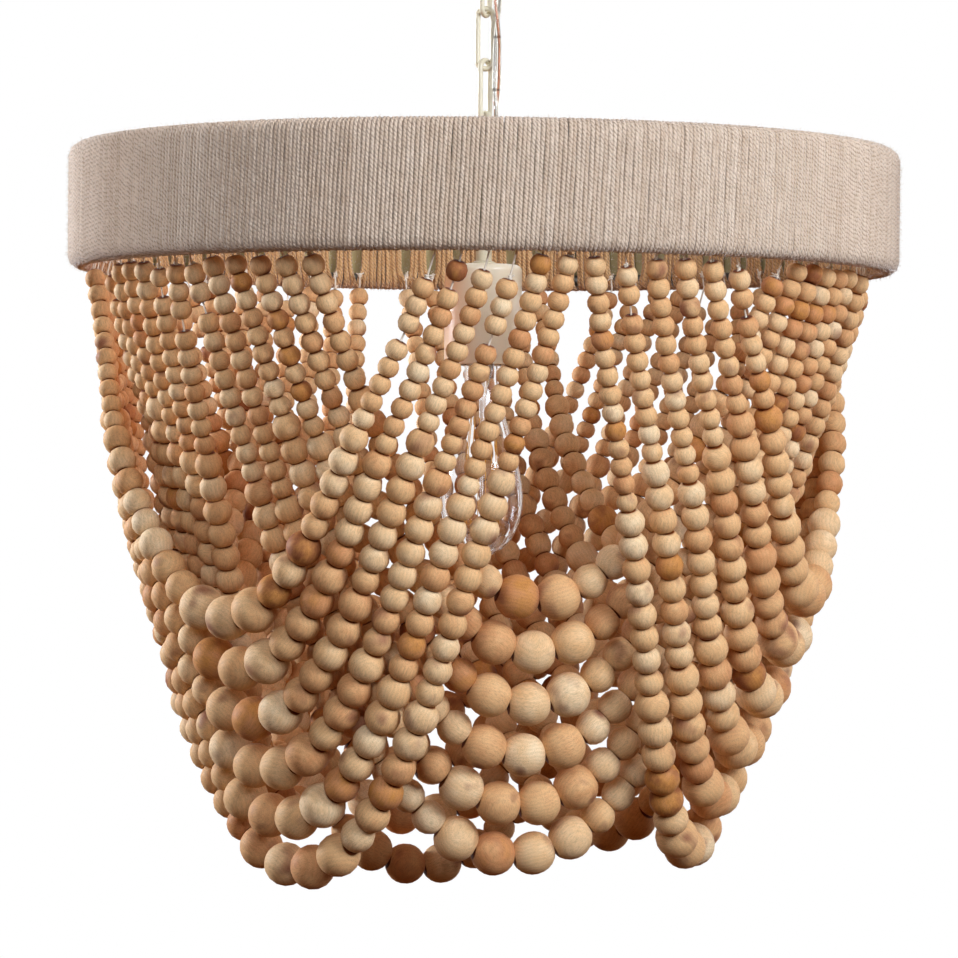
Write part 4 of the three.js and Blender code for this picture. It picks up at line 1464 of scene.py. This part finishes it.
@dataclass
class Band:
    """The drum: two hoops, the liner between them, and the twine wound round all three."""

    diameter: float = 610.0
    height: float = 90.0
    thickness: float = 17.0
    hub_above_arms: float = 11.0
    twine: float = 3.0
    turns: int = 618
    ply_step: float = 3.0
    wander: float = 0.045
    sides: int = 6
    flattening: float = 1.14
    gap_push: float = 0.95
    gap_reach: float = 2.1
    layer_rise: float = 1.5
    inner_steps: tuple[float, ...] = (0.2, 0.45, 0.65, 0.8, 0.88, 0.94)
    slant: float = 0.58
    outer_lean: float = 0.4
    place_jitter: float = 0.014
    lean_jitter: float = 0.05
    lift_jitter: float = 0.08
    radius_jitter: float = 0.02
    wander_waves: tuple[float, float] = (5, 14)
    slant_after_seat: float = 0.6
    slant_before_seat: float = -0.1
    liner_thickness: float = 1.0
    fibres: int = 12000
    fibre_length: tuple[float, float] = (1.8, 4.0)
    fibre_radius: float = 0.11
    fibre_taper: Point = (1.0, 0.8, 0.35)
    fibre_root: float = 0.35
    fibre_upright: float = 0.75
    fibre_spread: float = 0.55
    fibre_bend: float = 0.5
    fibre_droop: float = 0.35
    seed: int = 7
    body: str = "fixture"

    @property
    def middle(self) -> float:
        """Radius half way through the band's thickness, in millimetres."""
        return (self.diameter - self.thickness) / 2

    @cached_property
    def bottom(self) -> float:
        """Height of the band's lower edge, in millimetres."""
        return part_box("hub")[1].z / MM - self.hub_above_arms + self.thickness / 2 - self.height

    def build(self, seats: Sequence[float]) -> None:
        """Builds the hoops, the liner, and the twine in two halves.

        Args:
            seats: turns from the front, in degrees, where strings part the twine on the inside.
        """
        for node in ("top_hoop", "bottom_hoop"):
            self.hoop(node)
        self.liner()
        for half, first in (("front", -90.0), ("back", 90.0)):
            self.wrap(f"twine_wrap_{half}", first, np.array(seats))
            self.fuzz(f"twine_fuzz_{half}", first)

    def hoop(self, node: str) -> None:
        """A smooth round hoop in place of its faceted solid.

        Args:
            node: the solid's name.
        """
        low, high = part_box(node)
        piece = primitive(
            f"{node}_rod", "torus", major_segments=160, minor_segments=12, major_radius=self.middle * MM,
            minor_radius=(high.z - low.z) / 2, location=(0, 0, (low.z + high.z) / 2),
        )
        carry(settle(piece, 80), self.body, Finish.ROD, "hoop_steel", node)

    def liner(self) -> None:
        """The cloth strip between the hoops, a thin upright wall."""
        low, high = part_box("liner")
        middle, half = self.middle * MM, self.liner_thickness / 2 * MM
        profile = [(middle - half, low.z), (middle + half, low.z), (middle + half, high.z), (middle - half, high.z)]
        carry(spun("liner_strip", profile, 180), self.body, Finish.LINER, "olive_liner", "liner")

    def wrap(self, name: str, first: float, seats: np.ndarray) -> None:
        """Half of the turns. Each turn is a loop of twine round the two hoops.

        Args:
            name: the piece's name.
            first: azimuth in degrees at which this half starts.
            seats: where strings part the twine on the inside.
        """
        draws = np.random.default_rng([self.seed, int(first + 90)])
        count, sides = self.turns // 2, self.sides
        azimuths = first + (np.arange(count) + 0.5) * 180 / count
        section, run = self.section()
        inward = np.clip((self.middle - section[:, 0]) / (self.thickness / 2 - self.twine / 2), -1, 1)
        inner, outer = np.clip(inward, 0, 1), np.clip(1 - inward, 0, 1)
        heights = np.clip((section[:, 1] - self.bottom) / self.height, 0, 1)
        verts = np.zeros((count, len(section), sides, 3))
        tones = np.zeros(verts.shape[:3])
        angles = np.arange(sides) * 2 * math.pi / sides
        tangents = unit(np.roll(section, -1, 0) - np.roll(section, 1, 0))
        normals = np.column_stack([tangents[:, 1], -tangents[:, 0]])
        for number, azimuth in enumerate(azimuths):
            azimuth += draws.normal(0, self.place_jitter)
            offsets = inner * self.parting(azimuth, heights, seats, draws)
            offsets += outer * self.outer_lean * (2 * heights - 1)
            waves = heights * draws.uniform(*self.wander_waves)
            offsets += self.wander * np.sin(waves + draws.uniform(0, 2 * math.pi))
            lift = draws.normal(0, self.lift_jitter) + inner * (number % 2) * self.layer_rise
            radius = self.twine / 2 * (1 + draws.normal(0, self.radius_jitter))
            where = np.radians(azimuth + offsets)
            out = np.column_stack([np.sin(where), -np.cos(where)])
            level = np.column_stack([np.cos(where), np.sin(where)])
            for side, angle in enumerate(angles):
                shift = normals * (math.cos(angle) * radius + lift)[:, None]
                reach = (section[:, 0] + shift[:, 0])[:, None]
                verts[number, :, side, :2] = out * reach + level * math.sin(angle) * radius * self.flattening
                verts[number, :, side, 2] = section[:, 1] + shift[:, 1]
            tones[number] = draws.uniform(0, 1)
        grid = np.arange(tones.size).reshape(tones.shape)
        ahead, beside = np.roll(grid, -1, 1), np.roll(grid, -1, 2)
        faces = np.stack([grid, beside, np.roll(ahead, -1, 2), ahead], -1).reshape(-1, 4).tolist()
        piece = mesh_piece(name, verts.reshape(-1, 3) * MM, faces)
        write(piece, "turn_tone", tones)
        # inner_side marks the turns' inner run, where the twine's finish paints warm shade.
        write(piece, "inner_side", np.broadcast_to(inner[None, :, None], tones.shape))
        write_lay(piece, self.lay(tones.shape, run, draws))
        carry(piece, self.body, Finish.TWINE, "cotton_twine", "twine_wrap")

    def fuzz(self, name: str, first: float) -> None:
        """Loose fibres that stand off half of the twine, each a thin bent hair.

        Args:
            name: the piece's name.
            first: azimuth in degrees at which this half starts.
        """
        draws = np.random.default_rng([self.seed, int(first + 90), 1])
        section, run = self.section()
        count, half = self.fibres, self.thickness / 2
        place = draws.uniform(0, run[-1], count)
        closed = np.vstack([section, section[:1]])
        reach, height = (np.interp(place, run, closed[:, axis]) for axis in (0, 1))
        core = np.clip(height, self.bottom + half, self.bottom + self.height - half)
        away = unit(np.column_stack([reach - self.middle, height - core]))
        turn = np.radians(first + draws.uniform(0, 180, count))
        out = np.column_stack([np.sin(turn), -np.cos(turn), np.zeros(count)])
        up = np.array([0.0, 0.0, 1.0])
        normal = out * away[:, :1] + up * away[:, 1:]
        root = out * reach[:, None] + up * height[:, None] + normal * self.twine * self.fibre_root
        length = draws.uniform(*self.fibre_length, count)[:, None] / 2
        start = normal * self.fibre_upright + draws.normal(0, self.fibre_spread, (count, 3))
        end = unit(start + draws.normal(0, self.fibre_bend, (count, 3)) - normal * self.fibre_droop)
        start = unit(start)
        line = np.stack([root, root + start * length, root + (start + end) * length], 1)
        across = unit(np.cross(start, draws.normal(0, 1, (count, 3))))
        beside = np.cross(start, across)
        angles = np.arange(3) * 2 * math.pi / 3
        ring = across[:, None, :] * np.cos(angles)[None, :, None] + beside[:, None, :] * np.sin(angles)[None, :, None]
        radii = np.array(self.fibre_taper)[None, :, None, None] * self.fibre_radius
        verts = line[:, :, None, :] + ring[:, None, :, :] * radii
        grid = np.arange(count * 9).reshape(count, 3, 3)
        low, high = grid[:, :-1], grid[:, 1:]
        walls = np.stack([low, np.roll(low, -1, 2), np.roll(high, -1, 2), high], -1).reshape(-1, 4)
        faces = walls.tolist() + grid[:, 0, ::-1].tolist() + grid[:, 2].tolist()
        piece = mesh_piece(name, verts.reshape(-1, 3) * MM, faces)
        write_lay(piece)
        carry(piece, self.body, Finish.FIBRE, "cotton_twine")

    def section(self) -> tuple[np.ndarray, np.ndarray]:
        """The middle line of one turn: up the outside, over the top hoop, down the inside and under.

        Returns:
            Radius and height of each point, and the length up to each.
        """
        middle, bend = self.middle, (self.thickness - self.twine) / 2
        low, high = self.bottom + self.thickness / 2, self.bottom + self.height - self.thickness / 2
        points = [(middle + bend, low + (high - low) * step / 5) for step in range(5)]
        points += round_points(middle, high, bend, 0, 180, 5)
        points += [(middle - bend, high - (high - low) * share) for share in self.inner_steps]
        points += round_points(middle, low, bend, 180, 360, 5)[:-1]
        line = np.array(points)
        lengths = np.linalg.norm(np.roll(line, -1, 0) - line, axis=1)
        return line, np.concatenate([[0.0], np.cumsum(lengths)])

    def parting(self, azimuth: float, heights: np.ndarray, seats: np.ndarray, draws: Draws) -> np.ndarray:
        """How far a turn leans on the inside, where the strings push the twine apart.

        Args:
            azimuth: the turn's azimuth in degrees.
            heights: share of the band's height of each point.
            seats: azimuths of the strings.
            draws: the band's own random numbers.

        Returns:
            The offset of each point, in degrees.
        """
        away = (azimuth - seats + 180) % 360 - 180
        nearest = away[np.argmin(np.abs(away))]
        push = math.copysign(self.gap_push, nearest) * max(0.0, 1 - abs(nearest) / self.gap_reach)
        opened = np.clip((heights - 0.05) / 0.13, 0, 1) * np.clip((1.0 - heights) / 0.25, 0, 1)
        side = self.slant_after_seat if nearest > 0 else self.slant_before_seat
        lean = self.slant * (heights - 0.5) * 2 * side
        return push * opened + lean + draws.normal(0, self.lean_jitter)

    def lay(self, shape: tuple[int, ...], run: np.ndarray, draws: Draws) -> np.ndarray:
        """Works out the lay UV map of the turns, each started at its own point of the lay.

        Args:
            shape: how many turns, rings in each turn and sides in each ring.
            run: length up to each ring, and round the whole turn.
            draws: the band's own random numbers.

        Returns:
            Round the twine in x and lays along it in y, for each corner of each face.
        """
        along = run / run[-1] * round(run[-1] / self.ply_step)
        values = np.zeros((*shape, 4, 2))
        starts = draws.uniform(0, 1, shape[0])[:, None, None]
        side = np.arange(self.sides)[None, None, :]
        for corner, (step, ring) in enumerate(((0, 0), (1, 0), (1, 1), (0, 1))):
            values[..., corner, 0] = (side + step) / self.sides
            values[..., corner, 1] = along[ring : shape[1] + ring][None, :, None] + starts
        return values


@dataclass
class Lamp:
    """Stem, enamelled cup, holder and bulb."""

    stem_diameter: float = 12.0
    stem_bore: float = 8.0
    shoulder_height: float = 2.5
    cup_edge: float = 5.0
    cup_wall: float = 1.3
    cup_bead: float = 0.8
    holder_edge: float = 1.5
    holder_floor: float = 8.0
    base_diameter: float = 26.0
    contact_radius: float = 4.5
    contact_height: float = 1.0
    insulator_height: float = 4.0
    thread_stop: float = 5.0
    thread_pitch: float = 3.6
    thread_depth: float = 0.7
    neck_diameter: float = 27.0
    bulb_diameter: float = 61.0
    neck_length: float = 16.0
    end_length: float = 42.0
    glass_wall: float = 0.8
    filament_radius: float = 0.32
    filament_hairpins: int = 7
    upper_hooks: tuple[float, float] = (8.5, 42.0)
    lower_hooks: tuple[float, float] = (12.5, 24.0)
    filament_swell: float = 1.5
    mount_flare: tuple[tuple[float, float], ...] = ((0.0, 1.0), (9.0, 1.0), (6.0, 12.0), (2.6, 26.0), (2.2, 42.0))
    mount_rod: tuple[tuple[float, float], ...] = ((1.2, 24.0), (2.0, 22.0), (0.0, 20.5))
    mount_rod_start: tuple[float, float] = (1.3, 12.0)
    body: str = "fixture"

    @property
    def hole(self) -> float:
        """Radius of a hole round the stem, in metres."""
        return (self.stem_diameter / 2 + SEAT_GAP) * MM

    def build(self) -> None:
        """Builds the lamp from the hub down."""
        self.stem()
        self.cup()
        self.holder()
        self.base()
        self.glass()
        self.inside_of_bulb()

    def stem(self) -> None:
        """The tube from the hub to the cup, with its two shoulders."""
        low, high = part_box("stem")
        outer, inner, wide = self.stem_diameter / 2 * MM, self.stem_bore / 2 * MM, high.x
        ring, foot = self.shoulder_height * MM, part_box("socket_cup")[1].z + SEAT_GAP * MM
        profile = [(inner, high.z), (inner, low.z), (outer, low.z), (outer, foot)]
        profile += [(wide, foot), (wide, foot + ring * 0.6), (outer, foot + ring)]
        profile += [(outer, high.z - ring), (wide, high.z - ring), (wide, high.z)]
        painted(spun("stem_tube", profile), self.body, "stem")

    def cup(self) -> None:
        """The enamelled cup: round shoulder, straight wall and a rolled bead at its mouth."""
        low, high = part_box("socket_cup")
        outer, edge, wall, bead = high.x, self.cup_edge * MM, self.cup_wall * MM, self.cup_bead * MM
        profile = [(self.hole, high.z), *round_points(outer - edge, high.z - edge, edge, 90, 0, 8)]
        profile += round_points(outer - bead, low.z + bead, bead, 0, -180, 8)
        profile += [*round_points(outer - edge, high.z - edge, edge - wall, 0, 90, 8), (self.hole, high.z - wall)]
        carry(spun("socket_cup_shell", profile, 72), self.body, Finish.ENAMEL, "cream_enamel", "socket_cup")

    def holder(self) -> None:
        """The porcelain holder inside the cup, with a softened mouth."""
        low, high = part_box("lampholder")
        outer, inner = high.x, (self.base_diameter / 2 + SEAT_GAP) * MM
        edge, room_top = self.holder_edge * MM, high.z - self.holder_floor * MM
        profile = [(self.hole, high.z), *round_points(outer - edge, high.z - edge, edge, 90, 0)]
        profile += round_points(outer - edge, low.z + edge, edge, 0, -90)
        profile += [(inner, low.z), (inner, room_top), (self.hole, room_top)]
        carry(spun("holder_shell", profile), self.body, Finish.PORCELAIN, "porcelain", "lampholder")

    def base(self) -> None:
        """The bulb's screw shell with its rolled thread, and the contact at its tip."""
        low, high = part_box("bulb_base")
        radius, tip = self.base_diameter / 2 * MM, self.contact_radius * MM
        pitch, depth = self.thread_pitch * MM, self.thread_depth * MM
        profile = [(0.0, low.z), (radius - depth, low.z)]
        height = low.z
        while height < high.z - self.thread_stop * MM:
            profile += [(radius - depth, height + pitch * 0.15), (radius, height + pitch * 0.5)]
            height += pitch
        profile += [(radius - 3 * depth, high.z - self.insulator_height * MM), (tip, high.z - self.contact_height * MM)]
        profile += [(tip * 0.6, high.z), (0.0, high.z)]
        carry(spun("bulb_screw_shell", profile), "bulb", Finish.BRASS, "brass", "bulb_base")

    def outline(self, inset: float) -> Profile:
        """The bulb's profile from its neck to its tip.

        Args:
            inset: how far inside the outer skin, in metres.

        Returns:
            Radius and height of each point.
        """
        low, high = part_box("bulb_glass")
        neck, widest = self.neck_diameter / 2 * MM - inset, self.bulb_diameter / 2 * MM - inset
        flare_top, dome_top = high.z - self.neck_length * MM, low.z + self.end_length * MM
        points = [(neck, high.z), (neck, (high.z + flare_top) / 2)]
        for share in (step / 20 for step in range(21)):
            ease = share * share * (3 - 2 * share)
            points.append((neck + (widest - neck) * ease, flare_top + (dome_top - flare_top) * share))
        for angle in (step * math.pi / 32 for step in range(1, 16)):
            points.append((widest * math.cos(angle), dome_top - (self.end_length * MM - inset) * math.sin(angle)))
        return [*points, (0.0, low.z + inset)]

    def glass(self) -> None:
        """The blown bulb, with a real wall so that it bends light as glass does."""
        outside, inside = self.outline(0.0), self.outline(self.glass_wall * MM)
        carry(spun("bulb_envelope", outside[::-1] + inside, 64, 60), "bulb", Finish.GLASS, "clear_glass", "bulb_glass")

    def inside_of_bulb(self) -> None:
        """The glass stem in the bulb, and the long hairpin filaments on their two rings of hooks."""
        low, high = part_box("bulb_glass")
        (upper, depth), (lower, rise), swell = self.upper_hooks, self.lower_hooks, self.filament_swell * MM
        top, bottom, upper, lower = high.z - depth * MM, low.z + rise * MM, upper * MM, lower * MM
        profile = [(radius * MM, high.z - fall * MM) for radius, fall in self.mount_flare]
        profile.append((self.mount_rod_start[0] * MM, top - self.mount_rod_start[1] * MM))
        profile += [(radius * MM, low.z + height * MM) for radius, height in self.mount_rod]
        carry(spun("bulb_mount_stem", profile, 24), "bulb", Finish.GLASS, "clear_glass")
        line = []
        for index in range(2 * self.filament_hairpins):
            angle = index * math.pi / self.filament_hairpins
            for height in np.linspace(*((top, bottom) if index % 2 == 0 else (bottom, top)), 9):
                share = (top - height) / (top - bottom)
                reach = upper + (lower - upper) * share + swell * math.sin(share * math.pi)
                line.append((reach * math.cos(angle), reach * math.sin(angle), height))
        piece = mesh_piece("bulb_filament", *tube_shape(np.array(line), self.filament_radius * MM, 6))
        carry(piece, "bulb", Finish.FILAMENT, "brass")


@dataclass
class Studio:
    """Floor, lamps, sky and camera of the picture, in metres, watts and degrees."""

    camera_distance: float = 3.05
    camera_height: float = -0.445
    camera_side: float = -0.0021
    focal_pixels: float = 4137.0
    picture_pixels: float = 958.0
    sensor: float = 36.0
    roll: float = 0.46
    far_clip: float = 60.0
    front_level: float = 0.05
    rear_level: float = 0.45
    level_from: float = -0.4
    level_to: float = 0.8
    fill_colour: str = "FFB468"
    lamp_colour: str = "EAF2FE"
    bounce_colour: str = "FF882A"
    bounce_power: float = 0.16
    bounce_radius: float = 0.05
    bounce_place: Point = (-0.14, -0.02, -0.34)
    floor_drop: float = 3.8
    floor_radius: float = 6.0
    boxes: tuple[tuple[str, Point, float, float, float, float], ...] = (
        ("key_box", (1.9, -1.9, 0.6), -0.445, 1.2, 80.0, 17.7),
        ("front_box", (-0.4, -3.0, 1.0), -0.45, 1.8, 80.0, 11.9),
        ("left_rear_box", (-2.5, 1.0, 0.1), -0.25, 0.6, 50.0, 9.8),
        ("right_rear_box", (2.4, 1.3, -0.3), -0.445, 1.5, 80.0, 3.0),
    )

    def build(self) -> None:
        """Builds the studio and sets the camera."""
        self.floor()
        self.sky()
        self.lights()
        self.bounce()
        self.camera()
        bpy.context.scene.view_settings.view_transform = "Standard"

    def floor(self) -> None:
        """A round pale floor far below the lamp."""
        piece = primitive(
            "studio_floor", "circle", vertices=96, radius=self.floor_radius, fill_type="NGON",
            location=(0, 0, -self.floor_drop),
        )
        settle(piece, 0)
        piece.data.materials.append(Finish.FLOOR.material())

    def sky(self) -> None:
        """White to the camera and in reflections, and as light warm and weak, stronger from behind."""
        world = bpy.data.worlds.new("white_studio")
        bpy.context.scene.world = world
        world.use_nodes = True
        world.node_tree.nodes.clear()
        sky = Nodes(world.node_tree)
        path = sky.add("LightPath")
        seen = sky.calc("MAXIMUM", path["Is Camera Ray"], path["Is Transmission Ray"])
        shown = sky.calc("MAXIMUM", seen, path["Is Glossy Ray"])
        backward = sky.add("SeparateXYZ", {0: sky.add("TexCoord")["Generated"]})["Y"]
        levels = {"Value": backward, "From Min": self.level_from, "From Max": self.level_to}
        levels |= {"To Min": self.front_level, "To Max": self.rear_level}
        room = sky.add("MapRange", levels, interpolation_type="SMOOTHSTEP")["Result"]
        level = sky.add("Mix", {0: shown, 2: room, 3: 1.0})[0]
        tint = sky.mix(shown, srgb(self.fill_colour), (1.0, 1.0, 1.0, 1.0))
        light = sky.add("Background", {"Color": tint, "Strength": level})[0]
        sky.add("OutputWorld", {"Surface": light})

    def lights(self) -> None:
        """Soft boxes: the key from the upper right in front, one high in front, and one behind on each side."""
        for name, place, aim_height, size, spread, power in self.boxes:
            lamp = bpy.data.lights.new(name, "AREA")
            lamp.size = size
            lamp.spread = math.radians(spread)
            lamp.energy = power
            lamp.color = srgb(self.lamp_colour)[:3]
            aim = Vector((0, 0, aim_height)) - Vector(place)
            link(name, lamp, place).rotation_euler = aim.to_track_quat("-Z", "Y").to_euler()

    def bounce(self) -> None:
        """A weak warm lamp among the strands, for the light that the wood throws on itself. It isn't seen itself."""
        lamp = bpy.data.lights.new("wood_bounce", "POINT")
        lamp.shadow_soft_size = self.bounce_radius
        lamp.energy = self.bounce_power
        lamp.color = srgb(self.bounce_colour)[:3]
        holder = link("wood_bounce", lamp, self.bounce_place)
        holder.visible_camera = holder.visible_glossy = holder.visible_transmission = False

    def camera(self) -> None:
        """The camera at the photograph's place: level, far back, and rolled a little."""
        lens = bpy.data.cameras.new("studio_camera")
        lens.sensor_width = self.sensor
        lens.lens = self.focal_pixels / self.picture_pixels * self.sensor
        lens.clip_end = self.far_clip
        camera = link("studio_camera", lens)
        place = Matrix.Translation((self.camera_side, -self.camera_distance, self.camera_height))
        level = Matrix.Rotation(math.pi / 2, 4, "X")
        camera.matrix_world = place @ level @ Matrix.Rotation(math.radians(self.roll), 4, "Z")
        bpy.context.scene.camera = camera


def main() -> None:
    """Builds the studio and then the lamp from the ceiling down."""
    logging.basicConfig(level=logging.INFO, format="%(message)s")
    for assembly in (Studio(), CeilingFixing(), Chain(), LampCord(), Spider()):
        assembly.build()
    band = Band()
    strands = BeadStrands(band.bottom)
    band.build(strands.seats())
    Lamp().build()
    strands.build()


if __name__ == "__main__":
    main()
